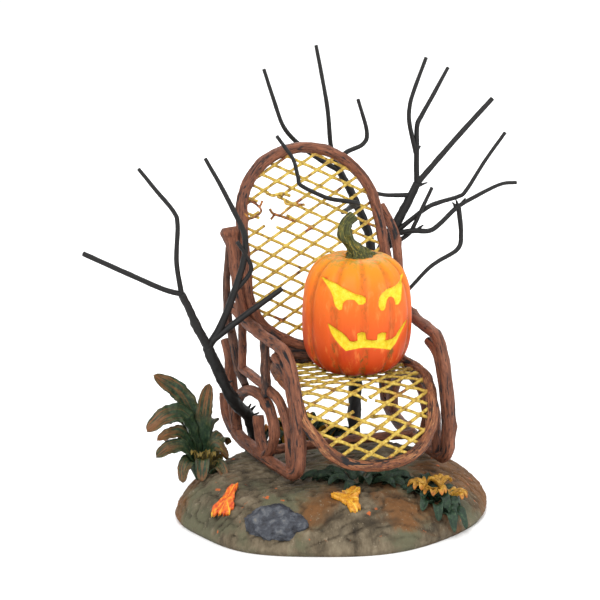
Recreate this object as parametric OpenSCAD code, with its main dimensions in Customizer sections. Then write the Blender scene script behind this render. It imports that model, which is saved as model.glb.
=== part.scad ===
// Bentwood rocking chair with a carved pumpkin, on a mound between two bare wire trees.
// Millimetres. +Z is up, the chair faces -Y, and the origin is on the flat underside, below the seat.

/* [Ground] */
// Width of the mound along X
mound_w = 104; // [102:1:112]
// Depth of the mound along Y
mound_d = 85; // [84:1:96]
// Height of the ground that the runners stand on
ground_z = 16.2; // [15.8:0.1:16.4]

/* [Chair] */
// X of the chair's middle plane
chair_x = 2; // [1.5:0.1:2.5]
// Half of the distance between the two side frames at the front legs
frame_half = 24.6; // [24.4:0.1:25]
// Radius of the main boughs
bough_r = 1.85; // [1.6:0.05:2]
// Radius of the thin inner boughs
inner_r = 1.45; // [1.2:0.05:1.6]
// Lean of the back from the vertical, in degrees
recline = 23; // [22:0.5:24]
// Half of the width of the back's arch
arch_half = 23; // [22.6:0.1:23.4]
// Gap under the lowest point of a runner
runner_gap = 0.85; // [0.7:0.05:1]
// Width of a lattice strip
strip_w = 1.1; // [0.9:0.1:1.4]

/* [Pumpkin] */
// Radius of the pumpkin at its widest rib
pumpkin_r = 17.1; // [16.6:0.1:17.6]
// Height of the pumpkin without its stem
pumpkin_h = 36.4; // [35.5:0.1:37]

/* [Trees] */
// Radius of a twig where it leaves its limb
twig_r = 0.85; // [0.7:0.05:1]
// Radius of a twig at its tip
tip_r = 0.6; // [0.5:0.05:0.7]

/* [Hidden] */

bark = [0.55, 0.30, 0.22];
dark_bark = [0.42, 0.24, 0.19];
straw = [0.83, 0.68, 0.25];
wire = [0.16, 0.16, 0.16];
earth = [0.42, 0.40, 0.34];
leaf_green = [0.18, 0.30, 0.18];
pumpkin_orange = [0.95, 0.48, 0.12];
stem_green = [0.36, 0.40, 0.18];

chair_sides = 8;
wire_sides = 6;
runner_low_y = 2;
runner_curve_r = 300;
runner_low_z = ground_z + runner_gap + bough_r;
back_foot_y = 16;
back_foot_z = 47;
seat_z = 44.6;
seat_t = 1.2;
seat_half = 21.8;
seat_corner_y = 17.5;
lip_curve = 0.037;
lattice_t = 1;

// ---- Curves and swept boughs -------------------------------------------------------------

function unit(v) = v / norm(v);
function last(list) = list[len(list) - 1];

// A point of the smooth curve through four neighbouring points, between the middle two
function curve_point(a, b, c, d, t) =
    0.5 * (2 * b + (c - a) * t + (2 * a - 5 * b + 4 * c - d) * t * t
        + (3 * b - a - 3 * c + d) * t * t * t);

// The smooth curve through a route, with a number of steps between each two of its points
function smooth(route, steps) =
    let (n = len(route))
    concat(
        [for (i = [0 : n - 2], k = [0 : steps - 1])
            curve_point(
                i == 0 ? 2 * route[0] - route[1] : route[i - 1], route[i], route[i + 1],
                i == n - 2 ? 2 * last(route) - route[n - 2] : route[i + 2], k / steps)],
        [last(route)]);

function tangents(path) =
    let (n = len(path))
    [for (i = [0 : n - 1]) unit(path[min(i + 1, n - 1)] - path[max(i - 1, 0)])];

// One normal for each tangent, carried along so that the tube doesn't twist
function normals(tangent_list, i, previous) =
    i == len(tangent_list) ? [] :
    let (t = tangent_list[i], m = unit(previous - (previous * t) * t))
    concat([m], normals(tangent_list, i + 1, m));

// A tube with flat ends along a route, from radius r0 to radius r1
module bough(route, r0, r1, sides = 8, steps = 3) {
    path = smooth(route, steps);
    tangent_list = tangents(path);
    seed = abs(tangent_list[0][0]) < 0.8 ? [1, 0, 0] : [0, 0, 1];
    normal_list = normals(tangent_list, 0, seed);
    rings = len(path);
    points = [for (i = [0 : rings - 1], k = [0 : sides - 1])
        let (m = normal_list[i],
             b = cross(tangent_list[i], m),
             r = r0 + (r1 - r0) * i / (rings - 1),
             turn = 360 * k / sides)
        path[i] + r * (cos(turn) * m + sin(turn) * b)];
    walls = [for (i = [0 : rings - 2], k = [0 : sides - 1], half = [0, 1])
        let (a = i * sides + k, b = i * sides + (k + 1) % sides)
        half == 0 ? [a, a + sides, b] : [b, a + sides, b + sides]];
    start_cap = [for (k = [0 : sides - 1]) k];
    end_cap = [for (k = [sides - 1 : -1 : 0]) (rings - 1) * sides + k];
    polyhedron(points, concat([start_cap], walls, [end_cap]));
}

// ---- Ground ------------------------------------------------------------------------------

function mound_outline(turn) =
    1 + 0.022 * sin(3 * turn + 20) + 0.012 * sin(7 * turn) + 0.01 * cos(5 * turn);

// Height of each level of the mound, with its share of the outline on the left and on the right
mound_levels = [[0, 0.975, 0.975], [1.5, 1, 1], [5, 0.985, 0.97], [8.5, 0.94, 0.9], [11.5, 0.88, 0.82],
    [14, 0.8, 0.73], [ground_z - 0.6, 0.71, 0.66], [ground_z, 0.6, 0.6]];
mound_sides = 48;
outline_peak = 1.0412;
mound_centre = [-2.5, -0.5];

module mound() {
    levels = len(mound_levels);
    points = [for (level = mound_levels, k = [0 : mound_sides - 1])
        let (turn = 360 * k / mound_sides,
             share = level[1] + (level[2] - level[1]) * max(0, cos(turn)),
             s = share * mound_outline(turn) / outline_peak)
        [mound_centre[0] + mound_w / 2 * s * cos(turn), mound_centre[1] + mound_d / 2 * s * sin(turn),
         level[0]]];
    walls = [for (i = [0 : levels - 2], k = [0 : mound_sides - 1], half = [0, 1])
        let (a = i * mound_sides + k, b = i * mound_sides + (k + 1) % mound_sides)
        half == 0 ? [a, a + mound_sides, b] : [b, a + mound_sides, b + mound_sides]];
    floor_face = [for (k = [0 : mound_sides - 1]) k];
    top_face = [for (k = [mound_sides - 1 : -1 : 0]) (levels - 1) * mound_sides + k];
    color(earth) polyhedron(points, concat([floor_face], walls, [top_face]));
}

// A flat stone sunk in the front slope
module stone() {
    color([0.25, 0.27, 0.33])
    translate([-32.6, -28, 9.2]) rotate([44, -5, -30])
    hull() {
        cube([17, 8.4, 3.4], center = true);
        translate([-1, -1, 0]) cube([10, 11.5, 2.8], center = true);
        translate([0.5, 0.5, 0.4]) cube([10, 5.5, 3.6], center = true);
    }
}

// A fallen leaf with three lobes
module fallen_leaf(place, tilt, turn, size) {
    translate(place) rotate(tilt) rotate([0, 0, turn])
    linear_extrude(0.8)
    union() {
        for (lobe = [-48, 0, 48])
            rotate([0, 0, lobe]) polygon(size * [[-0.12, 0], [-0.2, 0.45], [0, 1], [0.2, 0.45], [0.12, 0]]);
        polygon(size * [[-0.06, 0.1], [-0.06, -0.5], [0.06, -0.5], [0.06, 0.1]]);
    }
}
module orange_leaf() { color([0.95, 0.45, 0.1]) fallen_leaf([-40, -9.4, 13], [14, -36, 0], 120, 8); }
module yellow_leaf() { color([0.9, 0.65, 0.15]) fallen_leaf([-8.4, -28.4, 15], [20, -4, 0], 135, 6.5); }

// A rosette of leaves as one star: each leaf is a blade that narrows from the crown to its tip.
// Each leaf has its direction, in rising order, its share of the reach and its share of the rise
module rosette(foot, leaves, reach, rise, crown) {
    n = len(leaves);
    tips = [for (leaf = leaves)
        foot + [reach * leaf[1] * cos(leaf[0]), reach * leaf[1] * sin(leaf[0]), rise * leaf[2]]];
    valleys = [for (k = [0 : n - 1])
        let (next = leaves[(k + 1) % n][0] + (k == n - 1 ? 360 : 0), turn = (leaves[k][0] + next) / 2)
        foot + [0.3 * reach * cos(turn), 0.3 * reach * sin(turn), 0.4 * crown]];
    points = concat([foot, foot + [0, 0, crown]], tips, valleys);
    faces = [for (k = [0 : n - 1], face = [0 : 3])
        let (tip = 2 + k, ahead = 2 + n + k, behind = 2 + n + (k + n - 1) % n)
        face == 0 ? [1, ahead, tip] : face == 1 ? [1, tip, behind] :
        face == 2 ? [0, tip, ahead] : [0, behind, tip]];
    color(leaf_green) polyhedron(points, faces);
}
module broad_plant() {
    rosette([-40, 21, 8],
        [[20, 0.45, 1.1], [75, 0.7, 1.6], [125, 0.85, 1.75], [158, 1, 1.6], [190, 1, 1.1], [222, 0.95, 0.6],
         [258, 0.8, 0.75]], 17, 16, 11);
}
module low_plant() {
    rosette([-1, -17, ground_z - 2.5],
        [[20, 0.6, 1], [90, 0.5, 1], [150, 0.9, 1], [178, 1, 0.9], [215, 0.9, 0.8], [262, 0.85, 0.8],
         [305, 0.85, 0.8], [342, 1.05, 0.9]], 12, 5, 4.6);
}
module flower_plant() {
    rosette([20, -31, 7],
        [[20, 1, 1.2], [90, 0.5, 1.2], [150, 0.8, 1.1], [200, 0.9, 0.9], [240, 1, 0.7], [280, 0.9, 0.7],
         [320, 1, 0.8]], 9, 10, 9);
}
module rear_plant() {
    rosette([-4, 33, ground_z - 4],
        [[10, 1, 1], [60, 0.6, 0.9], [120, 0.6, 0.9], [165, 1, 1], [205, 0.7, 0.8], [335, 0.8, 0.8]],
        12, 9, 8);
}

// ---- Side frames -------------------------------------------------------------------------

// X of a side frame, which widens a little to the rear. side is -1 for the left and 1 for the right
function frame_x(side, y) = chair_x + side * (frame_half + 0.05 * (y + 20));
function in_frame(side, route, inward = 0) =
    [for (p = route) [frame_x(side, p[0]) - side * inward, p[0], p[1]]];
function runner_z(y) = runner_low_z + (y - runner_low_y) * (y - runner_low_y) / (2 * runner_curve_r);

arm_leg_route = [[29, 61], [18, 58.6], [6, 57.4], [-4, 57.2], [-11, 56.4], [-15.5, 52], [-19, 45],
    [-21.5, 36], [-22, 27], [-20.5, 22], [-16, runner_z(-16)]];
inner_route = [[-3, 53.2], [-9.5, 51.6], [-13, 48], [-16, 42.5], [-18.4, 35], [-18.8, 27], [-17.6, 22]];
runner_route = [for (y = [-16, -8, 0, 8, 16, 24]) [y, runner_z(y)]];
runner_end = [[31, 21.6], [35, 25], [37, 31]];
rear_leg_route = [[36, 48.6], [33, 44], [31.6, 36], [30, 28], [27.5, 22]];
cross_route = [[34, 54.4], [31, 48.5], [27.5, 42], [21.5, 37.6]];
loop_route = [[27, 20.6], [28, 27], [24.5, 33.4], [17, 37.2], [8, 38], [1, 35.4], [-2.6, 29.5],
    [-0.5, 23.5], [4, 19.4]];
seat_rail_route = [[25, 42.4], [14.5, 41.8], [5, 41], [-5, 39.2], [-11.4, 32.5], [-13, 25], [-13.4, 20]];
rear_spindle_route = [[22.6, 58.6], [22.4, 50], [22.6, 43]];
front_spindle_route = [[4.6, 56.6], [4.4, 48], [3.2, 39]];
stub_route = [[6.5, 19.4], [11, 23.5], [12.4, 30]];

module arm_leg(side) { color(bark) bough(in_frame(side, arm_leg_route), bough_r, bough_r, chair_sides); }
module inner_bough(side) {
    color(bark) bough(in_frame(side, inner_route), inner_r, inner_r, chair_sides);
}
module runner(side) {
    color(bark)
    bough(in_frame(side, concat(runner_route, runner_end)), bough_r, bough_r * 1.1, chair_sides, 2);
}
module rear_leg(side) { color(bark) bough(in_frame(side, rear_leg_route), bough_r, bough_r, chair_sides); }
module seat_rail(side) {
    color(bark) bough(in_frame(side, seat_rail_route, 0.8), inner_r, inner_r * 1.1, chair_sides);
}
module loop(side) { color(bark) bough(in_frame(side, loop_route), 1.7, 1.7, chair_sides); }
module rear_spindle(side) { color(bark) bough(in_frame(side, rear_spindle_route), 1.3, 1.3, chair_sides); }

module left_arm_leg() { arm_leg(-1); }
module right_arm_leg() { arm_leg(1); }
module left_inner_bough() { inner_bough(-1); }
module right_inner_bough() { inner_bough(1); }
module left_runner() { runner(-1); }
module right_runner() { runner(1); }
module left_rear_leg() { rear_leg(-1); }
module right_rear_leg() { rear_leg(1); }
module left_seat_rail() { seat_rail(-1); }
module right_seat_rail() { seat_rail(1); }
module left_loop() { loop(-1); }
module right_loop() { loop(1); }
module left_rear_spindle() { rear_spindle(-1); }
module right_rear_spindle() { rear_spindle(1); }
module left_cross_bough() {
    color(dark_bark) bough(in_frame(-1, cross_route, 0.6), 1.5, 1.3, chair_sides);
}
module left_front_spindle() {
    color(dark_bark) bough(in_frame(-1, front_spindle_route), inner_r, inner_r, chair_sides);
}
module left_stub() { color(bark) bough(in_frame(-1, stub_route, 1), 1.7, 1.7, chair_sides); }

// ---- Back --------------------------------------------------------------------------------

// Places a shape drawn flat, with Y along the slope of the back, in the leaning plane
module on_back() {
    translate([chair_x, back_foot_y, back_foot_z]) rotate([90 - recline, 0, 0]) children();
}

// Height of the middle of the arch's round top up the slope
arch_centre = 43;
arch_foot = [[23.7, 30], [24.1, 19], [20.7, 10.5], [13, 4.8], [7, 2.5]];
arch_route = concat(
    [for (p = [for (i = [4 : -1 : 0]) arch_foot[i]]) [-p[0], p[1], 0]],
    [for (turn = [180 : -22.5 : 0]) [arch_half * cos(turn), arch_centre + arch_half * sin(turn), 0]],
    [for (p = arch_foot) [p[0], p[1], 0]]);

module back_arch() { color(bark) on_back() bough(arch_route, bough_r, bough_r, chair_sides, 2); }

// The space inside the arch, which the lattice fills
module arch_inside() {
    polygon([for (p = arch_route) [p[0], p[1]]]);
}

// Crossing strips over a rectangle. cell is the width and height of one diamond
module diamond_strips(half_w, low, high, cell) {
    lean = atan2(cell[1], cell[0]);
    rows = ceil((high - low + 2 * half_w * cell[1] / cell[0]) / cell[1]);
    for (side = [-1, 1], i = [0 : rows])
        translate([0, low - half_w * cell[1] / cell[0] + i * cell[1]])
        rotate(side * lean) square([2.6 * half_w, strip_w], center = true);
}

module back_lattice() {
    color(straw) on_back() translate([0, 0, -lattice_t / 2]) linear_extrude(lattice_t)
    difference() {
        intersection() {
            arch_inside();
            diamond_strips(25, 2, 66, [9.4, 5.2]);
        }
        // The torn hole
        translate([-12.6, 47.2]) scale([0.8, 1]) circle(r = 5.8, $fn = 20);
    }
}

left_post_route = [[-25.9, 30, 86.4], [-25.2, 28, 78], [-25.2, 24.8, 69], [-24.9, 21.6, 60]];
right_post_route = [[27.6, 36.5, 88], [30.2, 31.5, 80], [29.9, 26.5, 69], [28, 21.5, 60]];
thin_post_route = [[-25.8, 31.8, 80], [-26.6, 31.4, 70], [-26.4, 31.6, 60], [-25.8, 32, 53]];
module left_post() { color(bark) bough(left_post_route, 2, 1.7, chair_sides); }
module right_post() { color(bark) bough(right_post_route, 1.6, 1.6, chair_sides); }
module thin_post() { color(dark_bark) bough(thin_post_route, 0.9, 1.5, chair_sides); }

// The rough cross member that the arch's ends are lashed to
module back_foot() {
    color(dark_bark) bough([[-15, 17.5, 48.6], [-5, 17, 47], [5, 17, 46.6], [17, 17.5, 48.6]],
        2.2, 2, chair_sides);
}

// ---- Seat --------------------------------------------------------------------------------

// Height of the seat at a distance from front to rear: flat, then curving down to the lip
function seat_profile(y) = y > -8 ? seat_z : seat_z - lip_curve * (y + 8) * (y + 8);
// Turns the sine and cosine of a circle into those of a slightly square round
function squarer(value) = sign(value) * pow(abs(value), 0.74);
// Outline of the rim from its rear left end round the lip to its rear right end
seat_outline = concat(
    [[-17.5, seat_corner_y], [-20.2, 9], [-seat_half, -2], [-seat_half - 0.6, -12]],
    [for (turn = [197 : 14.6 : 343]) [-2 + 22 * squarer(cos(turn)), -13.5 + 17.8 * squarer(sin(turn))]],
    [[seat_half - 0.6, -12], [seat_half, -2], [20.2, 9], [17.5, seat_corner_y]]);

module seat_rim() {
    color(bark)
    bough([for (p = seat_outline) [chair_x + p[0], p[1], seat_profile(p[1])]],
        1.75, 1.75, chair_sides, 2);
}
module seat_rear_rail() {
    color(dark_bark) bough([for (x = [-20, 0, 20]) [chair_x + x, 19.5, seat_z + 0.2]],
        1.7, 1.7, chair_sides);
}

module seat_sheet() {
    stations = [18.5, -8, -12, -16, -20, -24, -28, -31];
    top = [for (y = stations) [y, seat_profile(y) + seat_t / 2]];
    bottom = [for (i = [len(stations) - 1 : -1 : 0])
        [stations[i] + 0.3, seat_profile(stations[i]) - seat_t / 2]];
    translate([chair_x - 30, 0, 0]) rotate([90, 0, 90]) linear_extrude(60) polygon(concat(top, bottom));
}
module seat_lattice() {
    color(straw)
    intersection() {
        translate([chair_x, 0, 10]) linear_extrude(40)
        difference() {
            intersection() {
                polygon(seat_outline);
                diamond_strips(25, -33, 20, [9.4, 4.8]);
            }
            // The torn hole
            translate([-2.8, -19.4]) scale([1.35, 1]) circle(r = 3, $fn = 20);
        }
        seat_sheet();
    }
}

module low_stretcher() {
    color(bark) bough([[frame_x(-1, 9), 9, 19.6], [chair_x, 9.4, 19.8], [frame_x(1, 9), 9, 19.6]],
        1.5, 1.5, chair_sides);
}

// ---- Pumpkin -----------------------------------------------------------------------------

pumpkin_x = 5.8;
pumpkin_y = 3;
pumpkin_turn = 6;
pumpkin_bottom = seat_z + seat_t / 2;
rib_count = 11;
pumpkin_sides = 66;
// Share of the radius and share of the height at each level
pumpkin_levels = [[0.3, 0.01], [0.55, 0], [0.78, 0.06], [0.92, 0.16], [0.985, 0.3], [1, 0.47],
    [0.985, 0.62], [0.93, 0.76], [0.8, 0.89], [0.58, 0.97], [0.32, 0.985], [0.16, 0.95]];

function rib(turn) = 1 - 0.045 * pow(abs(sin(rib_count * turn / 2 + 90)), 8);

module pumpkin_skin() {
    levels = len(pumpkin_levels);
    points = [for (level = pumpkin_levels, k = [0 : pumpkin_sides - 1])
        let (turn = 360 * k / pumpkin_sides, r = pumpkin_r * level[0] * rib(turn))
        [r * cos(turn), r * sin(turn), pumpkin_h * level[1]]];
    walls = [for (i = [0 : levels - 2], k = [0 : pumpkin_sides - 1], half = [0, 1])
        let (a = i * pumpkin_sides + k, b = i * pumpkin_sides + (k + 1) % pumpkin_sides)
        half == 0 ? [a, a + pumpkin_sides, b] : [b, a + pumpkin_sides, b + pumpkin_sides]];
    floor_face = [for (k = [0 : pumpkin_sides - 1]) k];
    top_face = [for (k = [pumpkin_sides - 1 : -1 : 0]) (levels - 1) * pumpkin_sides + k];
    polyhedron(points, concat([floor_face], walls, [top_face]));
}

// Face outlines: X to the viewer's right, Y up from the pumpkin's foot
right_eye = [[12.6, 30], [11.4, 27], [10.8, 24.2], [9.4, 23.1], [8.6, 23.3], [8, 25.2], [6.2, 25.8],
    [4.8, 24.4], [4.3, 22.6], [3.3, 22.2], [2.4, 23.6], [2.6, 26], [4.6, 27.8], [8.4, 28.8]];
left_eye = [[-13, 31], [-11.6, 28.2], [-10.6, 25.8], [-10.2, 23.6], [-9.6, 22.5], [-8.9, 23.2],
    [-8.5, 25], [-6.6, 26], [-4.6, 25.4], [-2, 24.4], [-1.8, 26.1], [-7, 28.7]];
mouth = [[-12.4, 17.6], [-10.6, 13], [-7.8, 10], [-4, 10.8], [0, 10.8], [6.8, 9.2], [9.8, 13], [12.5, 17],
    [9.8, 14.8], [7.4, 12.4], [4.6, 12.6], [4.8, 14.9], [2.1, 14.9], [1.8, 13], [-1.7, 13.2], [-2.1, 15.4],
    [-4.3, 15.4], [-4.4, 13], [-7, 12.8], [-8.2, 14.8]];

module face_cutters() {
    for (shape = [right_eye, left_eye, mouth])
        rotate([90, 0, 0]) translate([0, 0, 9]) linear_extrude(12) polygon(shape);
}

// The face is cut a millimetre deep, and its floor follows the skin
module pumpkin() {
    color(pumpkin_orange)
    translate([pumpkin_x, pumpkin_y, pumpkin_bottom]) rotate([0, 0, -pumpkin_turn])
    difference() {
        pumpkin_skin();
        difference() {
            face_cutters();
            translate([0, 1, 0]) scale(0.999) pumpkin_skin();
        }
    }
}

module stem() {
    color(stem_green)
    translate([pumpkin_x, pumpkin_y, pumpkin_bottom + pumpkin_h])
    union() {
        bough([[1, 0, -3], [-0.5, 0, 2], [-3, 0, 6], [-2, 0, 9.6], [1, 0, 11]], 3.4, 1.9, 10, 2);
        translate([1, 0, -1.6]) cylinder(h = 2, r = 5, $fn = 20);
    }
}

// ---- Trees -------------------------------------------------------------------------------

module wire_bough(route, r0 = twig_r, r1 = tip_r, steps = 2) {
    color(wire) bough(route, r0, r1, wire_sides, steps);
}

left_fork = [-38.6, 15.4, 52.8];
left_high_fork = [-47, 15, 70.7];
module left_trunk() {
    wire_bough([[-18.6, 28, ground_z - 1.5], [-19.6, 26.6, 20.5], [-22.4, 23.4, 26.8], [-27.6, 18.4, 32],
        [-31.6, 16, 37.6], [-35.4, 15.6, 45.4], left_fork], 2.1, 1.7, 2);
}
module left_limb() { wire_bough([left_fork, [-42.8, 15.2, 61.8], left_high_fork], 1.5, 1.1); }
module low_twig() {
    wire_bough([left_high_fork, [-52.7, 15, 72.7], [-62.3, 15, 77.7], [-70.2, 15, 81.9], [-77.8, 15, 86]],
        twig_r, 0.8);
}
module high_twig() {
    wire_bough([left_high_fork, [-48.8, 14, 81], [-48.7, 13, 93], [-50.1, 13, 97.4], [-56.1, 13, 105],
        [-60.7, 13, 111]]);
}
module inner_limb() {
    wire_bough([left_fork, [-34.6, 15, 59], [-30.6, 14.6, 68.6], [-27.2, 14, 79.4], [-26.6, 14, 86],
        [-27.6, 14, 90], [-30.2, 14, 95.4], [-34.6, 14, 104], [-39.3, 14, 112.4]], 1.3, tip_r);
}
module inner_twig() {
    wire_bough([[-30, 14.4, 70], [-24.8, 14, 76.4], [-27, 13.4, 82], [-29.5, 13, 86]], 0.75, tip_r);
}
module straight_twig() { wire_bough([[-37.6, 15, 54.8], [-26.4, 14, 62.6], [-15, 13, 70]], 1.15, 0.8); }

rear_fork = [29.4, 50, 62];
rear_left_fork = [19.4, 52, 97];
rear_right_fork = [46, 50, 91];
module rear_trunk() {
    wire_bough([[14, 25, ground_z - 1.5], [16.2, 29.5, 28], [20, 37, 42], [25.5, 45, 54], rear_fork],
        2.1, 1.7, 3);
}
module rear_left_limb() {
    wire_bough([rear_fork, [30, 51, 73], [26.8, 52, 83], [22.8, 52, 91], rear_left_fork], 1.6, 1.2);
}
module rear_top_twig() {
    wire_bough([rear_left_fork, [16.4, 51.4, 105], [14.4, 50, 119], [10.6, 50, 138.6]]);
}
module rear_mid_twig() {
    wire_bough([[20, 52, 96.6], [21, 51.4, 102.4], [27, 50.4, 105.4], [28.2, 50, 109.6],
        [25.1, 50, 120.3]]);
}
module rear_outer_twig() {
    wire_bough([rear_left_fork, [12, 52, 101.6], [4.8, 51, 107.2], [-0.4, 50, 113], [-3.4, 50, 120.8],
        [-7.1, 50, 132]]);
}
// This twig goes straight through one diamond of the back's lattice, so that the chair can rock
module lattice_twig() {
    wire_bough([[24.6, 52, 86], [20.6, 47, 85.2], [16.4, 41, 85.8], [16.1, 33.7, 88.8], [15.8, 27.2, 91.6],
        [7, 27.4, 93.6], [2.8, 28.2, 95.3], [-2.6, 29.6, 98.4], [-3.2, 30, 100.8], [-4.4, 30.8, 106.2],
        [-6.8, 31.4, 110], [-9.6, 31.8, 114]]);
}
module rear_right_limb() {
    wire_bough([rear_fork, [34, 50.4, 70], [40, 50, 80], rear_right_fork], 1.8, 1.4);
}
module rear_tall_twig() {
    wire_bough([rear_right_fork, [45.8, 50, 97], [45.8, 50, 104], [45.9, 50, 110.4], [47.6, 50, 113.8],
        [51.4, 50, 120], [56.6, 50, 128.8]], 1, tip_r);
}
module rear_second_twig() {
    wire_bough([[45.8, 50, 100.4], [43.2, 50, 111], [43.2, 50, 117], [44.8, 50, 122.4],
        [48.8, 50, 132.5]]);
}
module rear_straight_twig() {
    wire_bough([[45.4, 50, 90.4], [59.5, 50, 104.8], [72.6, 50, 117.5]], 1, 0.8);
}
module rear_side_twig() { wire_bough([[43.4, 50, 87.4], [35, 50.6, 88], [30.4, 51, 89.4]]); }
module right_high_twig() {
    wire_bough([[36, 50, 73.6], [47.3, 47, 82.8], [52.3, 46, 85.1], [59.1, 46, 86.5], [62, 46, 88.5],
        [68.6, 46, 97.9], [75.6, 46, 106.7]]);
}
module right_long_twig() {
    wire_bough([[36.6, 49, 75], [42.6, 45, 76.6], [48, 44, 76.4], [52, 44, 78.6], [57.5, 44, 83.2],
        [64, 44, 86.4], [73.2, 44, 89.9], [79, 44, 90.1]], 0.95, tip_r);
}
module right_drop_twig() {
    wire_bough([[58.4, 44, 83.2], [58.9, 43, 75], [57.4, 42, 70], [50.4, 42, 66.4], [46.4, 42, 63.8],
        [40.9, 42, 58.6], [37.4, 41.6, 55.7]]);
}
module right_short_twig() {
    wire_bough([[34, 50, 69.6], [41.4, 46.6, 75], [43.6, 46, 78.4], [46.2, 46, 83.5], [49.7, 46, 90.3]]);
}

mound();
stone();
orange_leaf();
yellow_leaf();
broad_plant();
low_plant();
flower_plant();
rear_plant();
left_arm_leg();
right_arm_leg();
left_inner_bough();
right_inner_bough();
left_runner();
right_runner();
left_rear_leg();
right_rear_leg();
left_seat_rail();
right_seat_rail();
left_loop();
right_loop();
left_rear_spindle();
right_rear_spindle();
left_cross_bough();
left_front_spindle();
left_stub();
back_arch();
back_lattice();
left_post();
right_post();
thin_post();
back_foot();
seat_rim();
seat_rear_rail();
seat_lattice();
low_stretcher();
pumpkin();
stem();
left_trunk();
left_limb();
low_twig();
high_twig();
inner_limb();
inner_twig();
straight_twig();
rear_trunk();
rear_left_limb();
rear_top_twig();
rear_mid_twig();
rear_outer_twig();
lattice_twig();
rear_right_limb();
rear_tall_twig();
rear_second_twig();
rear_straight_twig();
rear_side_twig();
right_high_twig();
right_long_twig();
right_drop_twig();
right_short_twig();
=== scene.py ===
"""The rocking chair figurine: cast boughs, wire lattice, carved pumpkin, plants and wire trees.

Routes and shapes are in millimetres, in the frame of the CAD model, and are scaled when a mesh is made.
"""

import random
from math import atan2, ceil, copysign, cos, exp, hypot, pi, radians, sin, sqrt

import bpy
from mathutils import Matrix, Vector, noise


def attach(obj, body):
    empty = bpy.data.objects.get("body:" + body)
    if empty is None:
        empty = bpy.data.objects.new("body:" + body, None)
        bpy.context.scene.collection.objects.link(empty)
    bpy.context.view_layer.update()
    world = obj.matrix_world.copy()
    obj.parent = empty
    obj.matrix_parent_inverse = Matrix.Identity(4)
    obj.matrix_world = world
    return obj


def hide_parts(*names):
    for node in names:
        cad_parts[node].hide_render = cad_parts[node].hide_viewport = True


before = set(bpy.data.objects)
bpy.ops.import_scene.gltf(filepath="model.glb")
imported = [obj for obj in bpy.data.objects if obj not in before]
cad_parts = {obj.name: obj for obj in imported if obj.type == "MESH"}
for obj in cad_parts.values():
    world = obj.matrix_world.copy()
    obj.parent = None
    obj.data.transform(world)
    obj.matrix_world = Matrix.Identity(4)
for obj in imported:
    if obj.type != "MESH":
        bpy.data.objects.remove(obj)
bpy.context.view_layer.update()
MM = 0.001

# ---- Sizes shared with the CAD model --------------------------------------------------------------

GROUND_Z = 16.2
CHAIR_X = 2.0
FRAME_HALF = 24.6
BOUGH_R = 1.85
INNER_R = 1.45
RECLINE = radians(23)
ARCH_HALF = 23.0
ARCH_CENTRE = 43.0
BACK_FOOT = (16.0, 47.0)
RUNNER_LOW_Y = 2.0
RUNNER_CURVE_R = 300.0
RUNNER_LOW_Z = GROUND_Z + 0.85 + BOUGH_R
SEAT_Z = 44.6
LIP_START = -8.0
LIP_CURVE = 0.037
SEAT_HALF = 21.8
BACK_CELL = (9.4, 5.2)
SEAT_CELL = (9.4, 5.2)
BACK_HOLE = (-12.6, 47.2)
SEAT_HOLE = (-2.8, -19.2)
PUMPKIN_R = 17.1
PUMPKIN_H = 36.4
PUMPKIN_PLACE = (5.8, 3.0, 45.2)
PUMPKIN_TURN = radians(-6)
MOUND_HALF = (52.0, 42.5)
MOUND_CENTRE = (-2.5, -0.5)
OUTLINE_PEAK = 1.0412
# How far the flat top of the mound reaches, as a share of its outline
TOP_SHARE = 0.6
# Heights up the mound's side, with its reach at the left and at the right as shares of its outline
MOUND_LEVELS = [(0, 0.975, 0.975), (1.5, 1, 1), (5, 0.985, 0.97), (8.5, 0.94, 0.9), (11.5, 0.88, 0.82),
                (14, 0.8, 0.73), (GROUND_Z - 0.6, 0.71, 0.66), (GROUND_Z, TOP_SHARE, TOP_SHARE)]
TWIG_R = 0.85
TIP_R = 0.6
# How fast the paint's pattern runs along a bough, as a share of how fast it runs across
GRAIN_STRETCH = 0.1372


# ---- Camera, light and floor ----------------------------------------------------------------------

def make_camera():
    azimuth, elevation, distance = radians(-21), radians(14.5), 0.85
    back = Vector((sin(azimuth) * cos(elevation), -cos(azimuth) * cos(elevation), sin(elevation)))
    aim = Vector((-6.34, 20.12, 63.84)) * MM
    camera = bpy.data.objects.new("camera", bpy.data.cameras.new("camera"))
    bpy.context.collection.objects.link(camera)
    camera.location = aim + back * distance
    camera.rotation_euler = back.to_track_quat("Z", "Y").to_euler()
    camera.data.lens = 163.2
    camera.data.clip_start = 0.01
    bpy.context.scene.camera = camera


def area_light(name, place, aim, size, power):
    light = bpy.data.objects.new(name, bpy.data.lights.new(name, "AREA"))
    bpy.context.collection.objects.link(light)
    light.location = place
    light.rotation_euler = (Vector(place) - Vector(aim)).to_track_quat("Z", "Y").to_euler()
    light.data.size = size
    light.data.energy = power


def make_studio():
    aim = (0, 0, 0.06)
    area_light("key", (-0.45, -0.6, 0.75), aim, 0.5, 7.4)
    area_light("fill", (0.7, -0.5, 0.35), aim, 0.6, 2.9)
    area_light("rim", (0.25, 0.6, 0.6), aim, 0.5, 3.2)
    world = bpy.data.worlds.new("studio")
    world.use_nodes = True
    background = world.node_tree.nodes["Background"]
    background.inputs["Color"].default_value = (1, 1, 1, 1)
    background.inputs["Strength"].default_value = 1.04
    bpy.context.scene.world = world
    bpy.context.scene.view_settings.view_transform = "Standard"
    mesh = bpy.data.meshes.new("floor")
    mesh.from_pydata([(-6, -6, 0), (6, -6, 0), (6, 6, 0), (-6, 6, 0)], [], [(0, 1, 2, 3)])
    floor = bpy.data.objects.new("floor", mesh)
    bpy.context.collection.objects.link(floor)
    floor.data.materials.append(plain_material("floor_paper", (0.93, 0.93, 0.93), 0.9))


# ---- Materials ------------------------------------------------------------------------------------

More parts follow.
